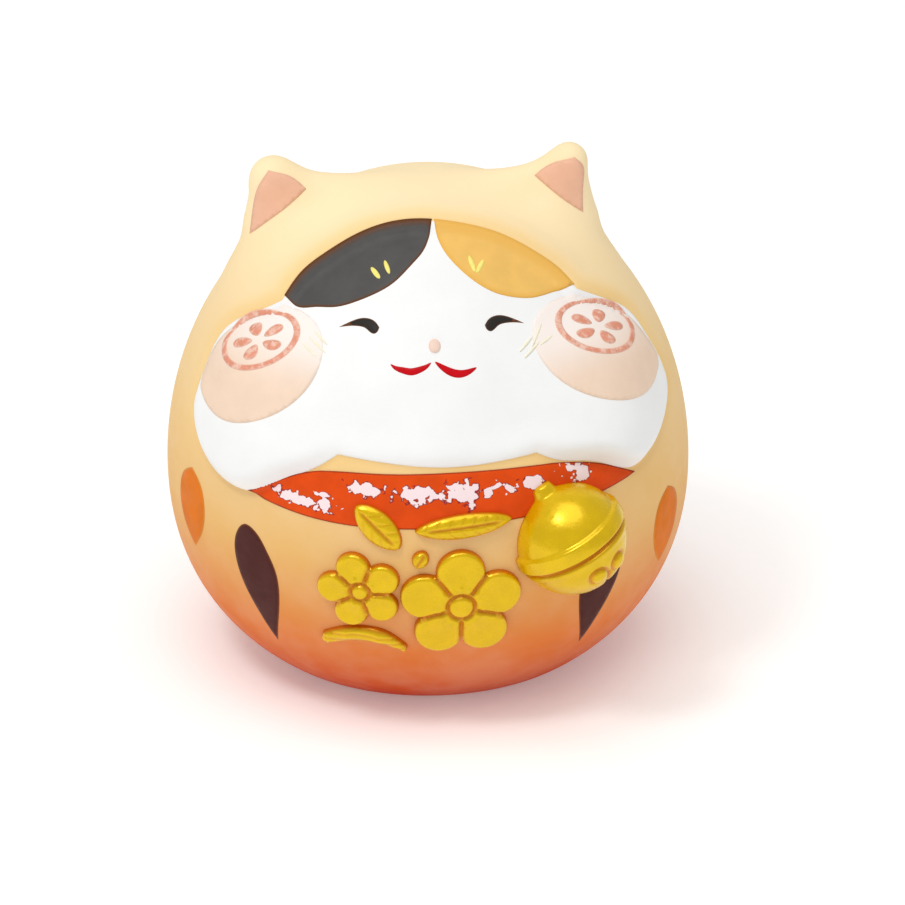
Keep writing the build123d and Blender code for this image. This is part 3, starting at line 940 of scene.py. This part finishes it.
def dome_height(base, rise, radius):
    """Round bead that meets the coat under it at its rim."""
    def height_of(points, gap):
        from_middle = np.clip(1 - gap / radius, 0, 1)
        return base + rise * np.sqrt(1 - from_middle**2)
    return height_of


nose_pink = matte_paint("nose_pink", srgb(242, 212, 196), 0.6, 0.03, 2.0)
paint_coat("nose", [oval_outline(0.3, 77.1, 1.1, 1.05, 0, 0.15)], dome_height(FIRST, 0.7, 1.0),
           nose_pink, 0.3, offsets=(0.08, 0.2, 0.4))

pale_gold = matte_paint("pale_gold_line", srgb(250, 236, 130), 0.42, 0.06, 1.5)
faint_gold = matte_paint("faint_gold_line", srgb(248, 238, 182), 0.5, 0.06, 1.5,
                         edge=srgb(249, 243, 222), edge_width=0.25)
WHISKERS = (                    # across, height, half-length, turn
    (-20.7, 77.0, 1.5, -32), (-21.3, 75.8, 1.8, -30), (-22.6, 74.7, 1.4, -30),
    (17.4, 76.0, 1.6, 35), (18.4, 74.9, 1.8, 33), (19.6, 77.0, 1.9, 55), (21.2, 75.8, 1.3, 20),
)
whiskers = [oval_outline(across, height, half_length, 0.22, turn, 0.15)
            for across, height, half_length, turn in WHISKERS]
paint_coat("whiskers", whiskers, coat_height(THIRD + 0.04), faint_gold, 0.3)

BROW_MARKS = (                  # across, height, half-length, half-breadth, turn
    (-8.1, 88.5, 1.0, 0.40, 118),
    (-10.3, 87.6, 1.1, 0.42, 142),
    (8.0, 88.8, 1.25, 0.42, 114),
    (9.5, 88.3, 1.15, 0.40, 45),
)
brow_marks = [oval_outline(*mark, 0.15) for mark in BROW_MARKS]
paint_coat("brow_marks", brow_marks, coat_height(THIRD + 0.03), pale_gold, 0.3)

# ---------------------------------------------------------------- cheeks
BLUSH = {                       # across, height, half-length, half-breadth, turn
    -1: (-31.4, 70.0, 13.3, 7.4, 41),
    1: (31.0, 71.6, 13.9, 7.1, -34),
}
SEAL = {
    -1: (-31.2, 73.6, 7.9, 3.9, 36),
    1: (30.6, 74.8, 8.2, 3.8, -30),
}
blush = blush_paint()
ink = seal_ink()
SEAL_RING = 0.84                # inside of the ring, as a share of its outside


def kept_within(outline, limit, margin):
    """Moves the points that pass the limit back inside it."""
    outline = outline.copy()
    for _ in range(4):
        gap = distance_to_outline(outline, limit)
        step = 0.01
        right = distance_to_outline(outline + [step, 0], limit)
        up = distance_to_outline(outline + [0, step], limit)
        slope = unit(np.column_stack([right - gap, up - gap]) + 1e-12)
        outline += slope * np.maximum(margin - gap, 0)[:, None]
    return outline


def ring_sheet(outer, inner, lift, rows=5):
    """Closed flat ring between two outlines with the same number of points."""
    layers = [outer + (inner - outer) * share for share in np.linspace(0, 1, rows)]
    points = np.vstack(layers)
    surface, normals = on_surface(directions_to(points))
    share = np.repeat(np.linspace(0, 1, rows), len(outer))
    edge = np.minimum(share, 1 - share) * np.linalg.norm(outer - inner, axis=1).mean()
    top = surface + normals * (lift - 0.06 * (edge < 0.01))[:, None]
    under = (surface - normals * SUNK).reshape(rows, len(outer), 3)[::-1].reshape(-1, 3)
    faces = grid_faces(2 * rows, len(outer), closed=True)
    gap = np.concatenate([edge, edge])
    return np.vstack([top, under]), faces, gap


def petal_shape(radius, spread, turn):
    """Round-ended petal whose point is at the middle of the flower."""
    angle = round_turn(26)
    along = radius * (0.62 - 0.38 * np.cos(angle))
    over = spread * np.sin(angle) * (0.45 + 0.55 * (along / radius))
    return leaned(along, over, turn=turn)


def cheek(side, name):
    """Blush disc, and on it the seal: a ring round a five-petal blossom."""
    oval = oval_outline(*BLUSH[side], step=0.4)
    disc = kept_within(oval, FACE_OUTLINE, 0.35)

    def fade(points, gap):
        return {"fade": rise_and_fall(points[:, 1], 64, 80)}

    paint_coat("cheek_blush_" + name, [disc], coat_height(SECOND), blush, 0.6,
               values_of=fade)
    across, height, length, breadth, turn = SEAL[side]

    def place(points):
        return leaned(points[:, 0], points[:, 1] * breadth / length, across, height, turn)

    rim = np.column_stack([np.cos(round_turn(120)), np.sin(round_turn(120))]) * length
    outer = place(rim)
    inner = place(rim * SEAL_RING + np.array([0, length * 0.03]))
    points, faces, gap = ring_sheet(outer, inner, THIRD)
    sheets = [(points, faces)]
    gaps = [gap]
    for index in range(5):
        petal = place(petal_shape(length * 0.66, length * 0.205, 90 + 72 * index))
        points, faces, _, gap = lay_sheet(petal, coat_height(THIRD), 0.4)
        sheets.append((points, faces))
        gaps.append(np.tile(gap, 2))
    points, faces = join_sheets(sheets)
    values = {"edge_gap": np.concatenate(gaps)}
    make_piece("cheek_seal_" + name, points, faces, ink, values)


cheek(-1, "left")
cheek(1, "right")

# ---------------------------------------------------------------- ears
ear_pink = matte_paint("pink_paint", srgb(240, 188, 158), 0.6, 0.03, 4.0)
EAR_INNER = {                   # outside edge, upper edge and lower edge
    -1: [[(-33.4, 87.0), (-32.6, 92.4), (-31.3, 97.2), (-29.6, 99.7)],
         [(-29.6, 99.7), (-25.9, 98.6), (-22.6, 95.9)],
         [(-22.6, 95.9), (-26.6, 92.7), (-30.2, 89.9), (-33.4, 87.0)]],
    1: [[(29.6, 90.2), (29.7, 95.4), (29.5, 99.4), (28.0, 101.0)],
        [(28.0, 101.0), (24.4, 100.0), (20.5, 97.3)],
        [(20.5, 97.3), (24.2, 94.4), (26.8, 92.4), (29.6, 90.2)]],
}
for side, name in ((-1, "left"), (1, "right")):
    paint_coat("ear_inner_" + name, [closed_outline(*EAR_INNER[side])], coat_height(FIRST),
               ear_pink, 0.7)

# ---------------------------------------------------------------- collar
COLLAR_LEFT = (-34.8, 47.9)
COLLAR_RIGHT = (38.0, 48.4)
COLLAR_UPPER = [COLLAR_LEFT, (-29.9, 51.2), (-25.0, 53.9), (-12.0, 55.7), (1.4, 56.0), (13.8, 55.9),
                (25.0, 54.8), (31.5, 52.6), COLLAR_RIGHT]
COLLAR_UNDER = [COLLAR_RIGHT, (33.0, 47.7), (15.7, 46.3), (1.3, 45.7), (-13.4, 45.5),
                (-25.0, 46.2), COLLAR_LEFT]
DYE_MARKS = (                   # across, height, half-length, half-breadth, turn
    (-25.9, 49.2, 4.6, 1.1, -13), (-20.6, 49.0, 1.3, 1.5, 0), (-20.8, 50.8, 1.3, 0.5, 0),
    (-12.8, 52.6, 3.3, 1.2, -5), (-3.2, 52.2, 4.4, 1.5, -4), (5.1, 52.1, 3.0, 2.0, -20),
    (9.5, 51.9, 0.7, 0.8, 0), (11.4, 53.1, 1.2, 0.5, 8), (13.7, 52.4, 1.3, 0.7, -35),
    (18.3, 52.4, 2.3, 1.1, -20), (25.1, 53.6, 0.9, 0.8, 0), (27.4, 52.2, 2.0, 1.4, -35),
)


def collar_values(points, gap):
    """Dye marks: 1 in the middle of one, 0 at its edge, and a row of droplets between."""
    mark = np.full(len(points), -1.0)
    row = np.full(len(points), -1.0)
    for across, height, length, breadth, turn in DYE_MARKS:
        along, over = straightened(points, across, height, turn)
        mark = np.maximum(mark, 1 - np.hypot(along / length, over / breadth))
        x, z = straightened(points, across, height, 0)
        row = np.maximum(row, -np.hypot(x / 4.5, z / 2.2))
    return {"mark": mark, "row": np.minimum(row + 0.7, 0)}


paint_coat("collar", [closed_outline(COLLAR_UPPER, COLLAR_UNDER)], coat_height(FIRST + 0.05),
           collar_paint(), 0.4, values_of=collar_values)

# ---------------------------------------------------------------- coat spots
brown = matte_paint("dark_brown_paint", srgb(78, 36, 32), 0.55, 0.07, 4.0,
                    edge=srgb(128, 70, 44), edge_width=0.4)
orange = matte_paint("orange_paint", srgb(224, 118, 16), 0.58, 0.06, 5.0,
                     edge=srgb(224, 140, 60), edge_width=0.6)


def long_drop(side):
    """Long drop with its point down, fuller on the side away from the sprig."""
    tip = (-0.2, 15.3)
    rim = [tip, (-1.8, 21.2), (-4.2, 27.8), (-5.6, 34.2), (-5.0, 38.4), (-2.6, 41.0), (0.2, 39.9),
           (2.4, 37.0), (4.2, 33.0), (4.4, 28.6), (2.6, 21.8), tip]
    return closed_outline(mirrored(rim) if side > 0 else rim)


def round_drop(side):
    """Egg-shaped drop with its point down, the same on every side."""
    right = [(0, 45.4), (3.6, 43.2), (5.2, 38.5), (3.6, 33.0), (0, 29.0)]
    return closed_outline(right, list(reversed(mirrored(right))))


def spots(node, drop, places, material):
    """Drops of one shape round the body. places holds each one's azimuth and how far it's raised."""
    outlines = [drop(azimuth) + np.array([0, raised]) for azimuth, raised in places]
    paint_coat(node, outlines, coat_height(FIRST), material, 0.8,
               azimuths=[azimuth for azimuth, _ in places])


spots("front_spots", long_drop, ((-43, 0), (40, -1.4), (-137, 0), (137, 0)), brown)
spots("side_spots", round_drop, ((-66, 1.0), (64, -4.2), (180, -1.0)), orange)

# ---------------------------------------------------------------- moulded gold sprig
RELIEF = 1.6
RELIEF_EDGE = 0.9               # width of the rounded edge
EDGE_ROWS = (0.06, 0.18, 0.36, 0.6, 0.9)
gold = gold_paint()


def rounded_edge(gap, width=RELIEF_EDGE):
    """0 at the edge, 1 from width inwards, round like a quarter circle between."""
    short = 1 - np.clip(gap / width, 0, 1)
    return np.sqrt(np.maximum(1 - short**2, 0))


def flower_outline(across, height, radius, turn):
    """Outline of five overlapping round petals."""
    angle = round_turn(220)
    off = np.radians((np.degrees(angle) - turn + 36) % 72 - 36)
    out = radius * (0.60 * np.cos(off) + np.sqrt(0.40**2 - (0.60 * np.sin(off)) ** 2))
    return leaned(out * np.cos(angle), out * np.sin(angle), across, height)


def flower(across, height, radius, turn):
    """Height and groove depth of a moulded five-petal blossom."""
    def parts(points):
        offset = (points - np.array([across, height])) / radius
        reach = np.linalg.norm(offset, axis=1)
        angle = np.degrees(np.arctan2(offset[:, 1], offset[:, 0]))
        in_petal = (angle - turn + 36) % 72 - 36
        to_groove = (36 - np.abs(in_petal)) * math.pi / 180 * reach * radius
        petal_groove = np.exp(-(to_groove / 0.42) ** 2) * rise_and_fall(reach, 0.20, 0.30)
        ring_groove = np.exp(-((reach - 0.215) * radius / 0.36) ** 2)
        groove = np.maximum(petal_groove, ring_groove)
        along = reach * np.cos(np.radians(in_petal))
        over = reach * np.sin(np.radians(in_petal))
        hollow = np.exp(-((along - 0.62) / 0.17) ** 2 - (over / 0.16) ** 2)
        boss = 1 - np.clip(reach / 0.19, 0, 1) ** 2
        stamen_turn = (angle - turn + 12) % 24 - 12
        stamen = np.hypot((reach - 0.345) / 0.05, np.radians(stamen_turn) * reach / 0.05)
        bead = np.exp(-stamen**2)
        return groove, hollow, boss, bead

    def height_of(points, gap):
        groove, hollow, boss, bead = parts(points)
        plateau = RELIEF - 0.75 * groove - 0.32 * hollow + 0.22 * np.sqrt(boss) + 0.28 * bead
        return 0.1 + (plateau - 0.1) * rounded_edge(gap)

    def values_of(points, gap):
        groove, hollow, boss, bead = parts(points)
        # painted shade for the gold paint: the grooves and the relief's edge
        edge = 1 - rise_and_fall(gap, 0.0, 0.5)
        return {"groove": np.clip(np.maximum(groove, edge), 0, 1)}

    return height_of, values_of


BLOSSOMS = (                    # node, across, height, radius, turn of the first petal
    ("blossom_large", 4.4, 29.8, 11.6, 90),
    ("blossom_small", -14.0, 32.6, 8.0, 34),
)
for node, *shape in BLOSSOMS:
    height_of, values_of = flower(*shape)
    paint_coat(node, [flower_outline(*shape)], height_of, gold, 0.32,
               values_of=values_of, offsets=EDGE_ROWS)


def leaf_outline(across, height, half_length, half_breadth, turn):
    """Leaf with soft points at both ends."""
    angle = round_turn(90)
    over = half_breadth * np.sin(angle) * np.abs(np.sin(angle)) ** 0.25 * 1.06
    return leaned(half_length * np.cos(angle), over, across, height, turn)


def leaf(across, height, half_length, half_breadth, turn):
    """Domed leaf with a midrib and slanting veins."""
    def grooves(points):
        along, over = straightened(points, across, height, turn)
        midrib = np.exp(-(over / 0.28) ** 2) * rise_and_fall(np.abs(along), half_length * 0.86,
                                                             half_length * 0.6)
        slant = (along - 0.9 * np.abs(over)) % 2.2 - 1.1
        veins = np.exp(-(slant / 0.24) ** 2) * 0.35 * rise_and_fall(np.abs(over), 0.2, 0.7)
        return np.maximum(midrib, veins)

    def height_of(points, gap):
        body = 0.1 + (RELIEF - 0.1) * rounded_edge(gap, half_breadth * 0.8)
        return body - 0.4 * grooves(points) * rise_and_fall(gap, 0.1, 0.7)

    def values_of(points, gap):
        # painted shade for the gold paint: the midrib, the veins and the leaf's edge
        edge = 1 - rise_and_fall(gap, 0.0, 0.45)
        return {"groove": np.clip(np.maximum(0.8 * grooves(points), edge), 0, 1)}

    return height_of, values_of


LEAVES = (                      # across, height, half-length, half-breadth, turn
    (-10.7, 45.7, 5.6, 2.9, -45),
    (5.0, 46.0, 9.0, 2.3, 5),
    (-3.0, 39.6, 1.9, 1.5, 60),
)
leaf_shapes = [leaf(*shape) for shape in LEAVES]
paint_coat("leaves", [leaf_outline(*shape) for shape in LEAVES],
           [height_of for height_of, _ in leaf_shapes], gold, 0.3,
           values_of=[values_of for _, values_of in leaf_shapes], offsets=(0.06, 0.18, 0.36, 0.6))

TWIG_UPPER = [(-21.0, 21.8), (-17.2, 23.8), (-13.0, 24.4), (-9.4, 23.6), (-6.4, 21.2)]
TWIG_END = [(-6.4, 21.2), (-5.5, 19.8), (-5.8, 18.8)]
TWIG_UNDER = [(-5.8, 18.8), (-9.2, 20.4), (-13.0, 21.0), (-17.0, 20.6), (-20.1, 19.0)]
TWIG_START = [(-20.1, 19.0), (-21.3, 20.4), (-21.0, 21.8)]


def bark_lines(points):
    """Wavy lines along the stick, from -1 to 1."""
    return np.sin(points[:, 1] * 5.2 + 1.6 * np.sin(points[:, 0] * 0.55))


def twig_height(points, gap):
    """Round stick with knuckles and shallow bark lines."""
    knuckle = sum(np.exp(-((points[:, 0] - across) / 0.9) ** 2) for across in (-16.8, -10.6))
    lines = 0.10 * bark_lines(points)
    return 0.1 + (RELIEF - 0.25 + 0.2 * knuckle + lines) * rounded_edge(gap, 1.3)


def twig_values(points, gap):
    # painted shade for the gold paint: the dips of the bark lines and the edge
    edge = 1 - rise_and_fall(gap, 0.0, 0.5)
    return {"groove": np.maximum(0.5 * np.clip(-bark_lines(points), 0, 1), edge)}


paint_coat("twig", [closed_outline(TWIG_UPPER, TWIG_END, TWIG_UNDER, TWIG_START, step=0.25)],
           twig_height, gold, 0.32, values_of=twig_values, offsets=EDGE_ROWS)

# ---------------------------------------------------------------- bell
BELL_RADIUS = 10.6
BELL_CENTRE = (30.6, 49.2, 40.6)        # azimuth, distance from the axis, height
BELL_LEAN = 23.5
BELL_TILT_BACK = 15.0
BELL_EYE = (2.5, -8.4, -6.0)            # direction of the right eye from the centre
BELL_EYE_RADIUS = 1.7
BAND_LOW = -0.1                         # levels from the centre
BAND_HIGH = 2.2
BAND_GROOVE = -1.0
SLOT_TOP = -6.2
POLE_RISE = 1.85                        # top of the loop beyond the ball
BELL_ROWS = 170
BELL_COLUMNS = 260


def bell_turn(points):
    """From the upright bell facing -Y to its place on the belly."""
    lean = math.radians(-BELL_LEAN)
    x = points[:, 0] * math.cos(lean) + points[:, 2] * math.sin(lean)
    z = -points[:, 0] * math.sin(lean) + points[:, 2] * math.cos(lean)
    tilt = math.radians(-BELL_TILT_BACK)
    y = points[:, 1] * math.cos(tilt) - z * math.sin(tilt)
    z = points[:, 1] * math.sin(tilt) + z * math.cos(tilt)
    azimuth, out, height = BELL_CENTRE
    return turned(np.column_stack([x, y - out, z + height]), azimuth)


def build_bell():
    """Round bell: necked loop, raised band over a groove, and two round eyes with a slot."""
    tilt = np.linspace(0, math.pi, BELL_ROWS + 2)[1:-1]
    turn = np.linspace(-math.pi, math.pi, BELL_COLUMNS, endpoint=False)
    tilts = np.repeat(tilt, BELL_COLUMNS)
    turns = np.tile(turn, BELL_ROWS)
    outward = np.column_stack([np.sin(tilts) * np.sin(turns), -np.sin(tilts) * np.cos(turns),
                               np.cos(tilts)])
    level = outward[:, 2] * BELL_RADIUS
    from_top = np.degrees(tilts)
    band = rise_and_fall(level, BAND_LOW - 0.5, BAND_LOW)
    band *= rise_and_fall(level, BAND_HIGH + 0.8, BAND_HIGH)
    lip = np.exp(-((level - BAND_GROOVE + 0.9) / 0.6) ** 2)
    groove = np.exp(-((level - BAND_GROOVE) / 0.36) ** 2)
    neck = 0.8 * np.exp(-(from_top / 15) ** 2)
    loop = 1.4 * rise_and_fall(from_top, 14, 8)
    dimple = 0.35 * np.exp(-(from_top / 3.0) ** 2)
    rise = 0.65 * band + 0.2 * lip - 0.55 * groove + neck + loop - dimple
    shade = np.clip(0.95 * groove, 0, 1)
    for side in (-1, 1):
        middle = unit(np.array(BELL_EYE) * [side, 1, 1])
        gap = np.linalg.norm(outward - middle, axis=1) * BELL_RADIUS
        rise += 0.7 * np.sqrt(np.clip(1 - (gap / BELL_EYE_RADIUS) ** 2, 0, 1))
        rise -= 0.3 * np.exp(-((gap - BELL_EYE_RADIUS - 0.3) / 0.35) ** 2)
        shade = np.maximum(shade, 0.8 * np.exp(-((gap - BELL_EYE_RADIUS - 0.25) / 0.35) ** 2))
    slot = np.exp(-(outward[:, 0] * BELL_RADIUS / 0.5) ** 2)
    slot *= rise_and_fall(level, SLOT_TOP, SLOT_TOP - 0.8) * (outward[:, 1] < 0)
    rise -= 0.9 * slot
    shade = np.maximum(shade, slot)
    placed = bell_turn(outward * (BELL_RADIUS + rise)[:, None])
    poles = bell_turn(np.array([[0, 0, BELL_RADIUS + POLE_RISE], [0, 0, -BELL_RADIUS]]))
    points = np.vstack([placed, poles])
    shade = np.concatenate([shade, [0.3, 0.5]])

    directions = unit(points - CORE)
    skin = plain_radius(directions) + face_rise(directions)
    outside = np.linalg.norm(points - CORE, axis=1) - skin
    # painted shade where the bell meets the body
    seat = np.exp(-(np.maximum(outside, 0) / 0.45) ** 2)
    shade = np.clip(np.maximum(shade, 0.8 * seat), 0, 1)
    sunk = CORE + directions * (skin - 0.4)[:, None]
    points = np.where((outside < -0.4)[:, None], sunk, points)

    faces = capped_faces(BELL_ROWS, BELL_COLUMNS)
    # the groove attribute carries the bell's painted shade to the gold paint
    make_piece("bell", points, faces, gold, {"groove": shade})


build_bell()

# ---------------------------------------------------------------- drain plug
PLUG_PROFILE = [                # radius and height, from the middle of the underside
    (1.6, 0.75), (2.2, 0.45), (8.6, 0.42), (9.1, 0.75), (9.6, 0.42), (10.5, 0.42), (10.9, 0.6),
    (11.0, 1.0), (10.9, 1.5), (10.5, 1.78), (8.3, 1.8), (7.9, 2.1), (7.8, 3.4), (7.92, 4.0),
    (7.8, 4.6), (7.75, 6.2), (7.3, 6.75), (5.0, 6.8), (4.6, 6.4), (4.5, 3.2), (4.0, 2.8),
]


def build_plug(segments=96):
    """Soft stopper turned round Z: thin flange, slightly barrelled stem, hollow inside."""
    turn = round_turn(segments)
    rows = []
    for distance, level in PLUG_PROFILE:
        rows.append(np.column_stack([distance * np.cos(turn), distance * np.sin(turn),
                                     np.full(segments, level)]))
    middles = [(0, 0, PLUG_PROFILE[0][1]), (0, 0, PLUG_PROFILE[-1][1])]
    points = np.vstack(rows + middles)
    faces = [tuple(reversed(face)) for face in capped_faces(len(PLUG_PROFILE), segments)]
    make_piece("drain_plug", points, faces, soft_plug_material(), body=PLUG)


build_plug()


# ---------------------------------------------------------------- studio
FLOOR_SIZE = 6.0                # metres, like everything in this section


def studio():
    """Pale floor that is clear from below, even white surroundings, a soft sun and a window."""
    half = FLOOR_SIZE / 2
    mesh = bpy.data.meshes.new("floor")
    mesh.from_pydata([(-half, -half, 0), (half, -half, 0), (half, half, 0), (-half, half, 0)],
                     [], [(0, 1, 2, 3)])
    floor = bpy.data.objects.new("floor", mesh)
    bpy.context.scene.collection.objects.link(floor)
    shader = Shader("pale_floor")
    grain = shader.mix(shader.vary(2.0, 0.0, 1.0), srgb(246, 246, 245), srgb(248, 248, 247))
    shader.set(Base_Color=grain, Roughness=0.95, Specular_IOR_Level=0.1)
    shader.set(Emission_Color=(1, 1, 1, 1), Emission_Strength=0.2)
    output = shader.tree.nodes["Material Output"]
    clear = shader.node("ShaderNodeBsdfTransparent")
    either = shader.node("ShaderNodeMixShader")
    side = shader.node("ShaderNodeNewGeometry")
    shader.link(side.outputs["Backfacing"], either.inputs[0])
    shader.link(shader.surface.outputs[0], either.inputs[1])
    shader.link(clear.outputs[0], either.inputs[2])
    shader.link(either.outputs[0], output.inputs["Surface"])
    mesh.materials.append(shader.material)

    world = bpy.data.worlds.new("studio")
    bpy.context.scene.world = world
    world.use_nodes = True
    background = world.node_tree.nodes["Background"]
    background.inputs["Color"].default_value = (1, 1, 1, 1)
    background.inputs["Strength"].default_value = 0.52

    sun = bpy.data.lights.new("soft_sun", "SUN")
    sun.energy = 1.0
    sun.angle = math.radians(50)
    add_light(sun, (-0.05, -0.22, 1.0))
    window = bpy.data.lights.new("window", "AREA")
    window.size = 0.14
    window.energy = 1.0
    add_light(window, (-0.26, -0.28, 0.62))


def add_light(lamp, place):
    """Hangs the lamp at a place, aimed at the middle of the figure."""
    light = bpy.data.objects.new(lamp.name, lamp)
    bpy.context.scene.collection.objects.link(light)
    light.location = place
    aim = Vector((0, 0, 0.05)) - Vector(place)
    light.rotation_euler = aim.to_track_quat("-Z", "Y").to_euler()


CAMERA_PITCH = math.radians(25.0)
CAMERA_SWING = math.radians(-2.0)
CAMERA_ROLL = math.radians(0.4)
CAMERA_DISTANCE = 0.9927
CAMERA_LENS = 203.9             # millimetres, on a sensor 36 wide
AIM_ASIDE = 0.00474             # how far to the right of the figure's axis it looks
AIM_HEIGHT = 0.039


def camera():
    """Long lens from slightly above, almost square to the face."""
    level = Vector((math.sin(CAMERA_SWING), -math.cos(CAMERA_SWING), 0))
    aim = Vector((-level.y * AIM_ASIDE, level.x * AIM_ASIDE, AIM_HEIGHT))
    lens = bpy.data.cameras.new("camera")
    lens.sensor_width = 36.0
    lens.lens = CAMERA_LENS
    eye = bpy.data.objects.new("camera", lens)
    bpy.context.scene.collection.objects.link(eye)
    back = level * math.cos(CAMERA_PITCH) + Vector((0, 0, math.sin(CAMERA_PITCH)))
    eye.location = aim + back * CAMERA_DISTANCE
    eye.rotation_euler = (math.pi / 2 - CAMERA_PITCH, 0.0, CAMERA_SWING)
    eye.rotation_euler.rotate_axis("Z", -CAMERA_ROLL)
    bpy.context.scene.camera = eye


studio()
camera()
bpy.context.scene.view_settings.view_transform = "Standard"
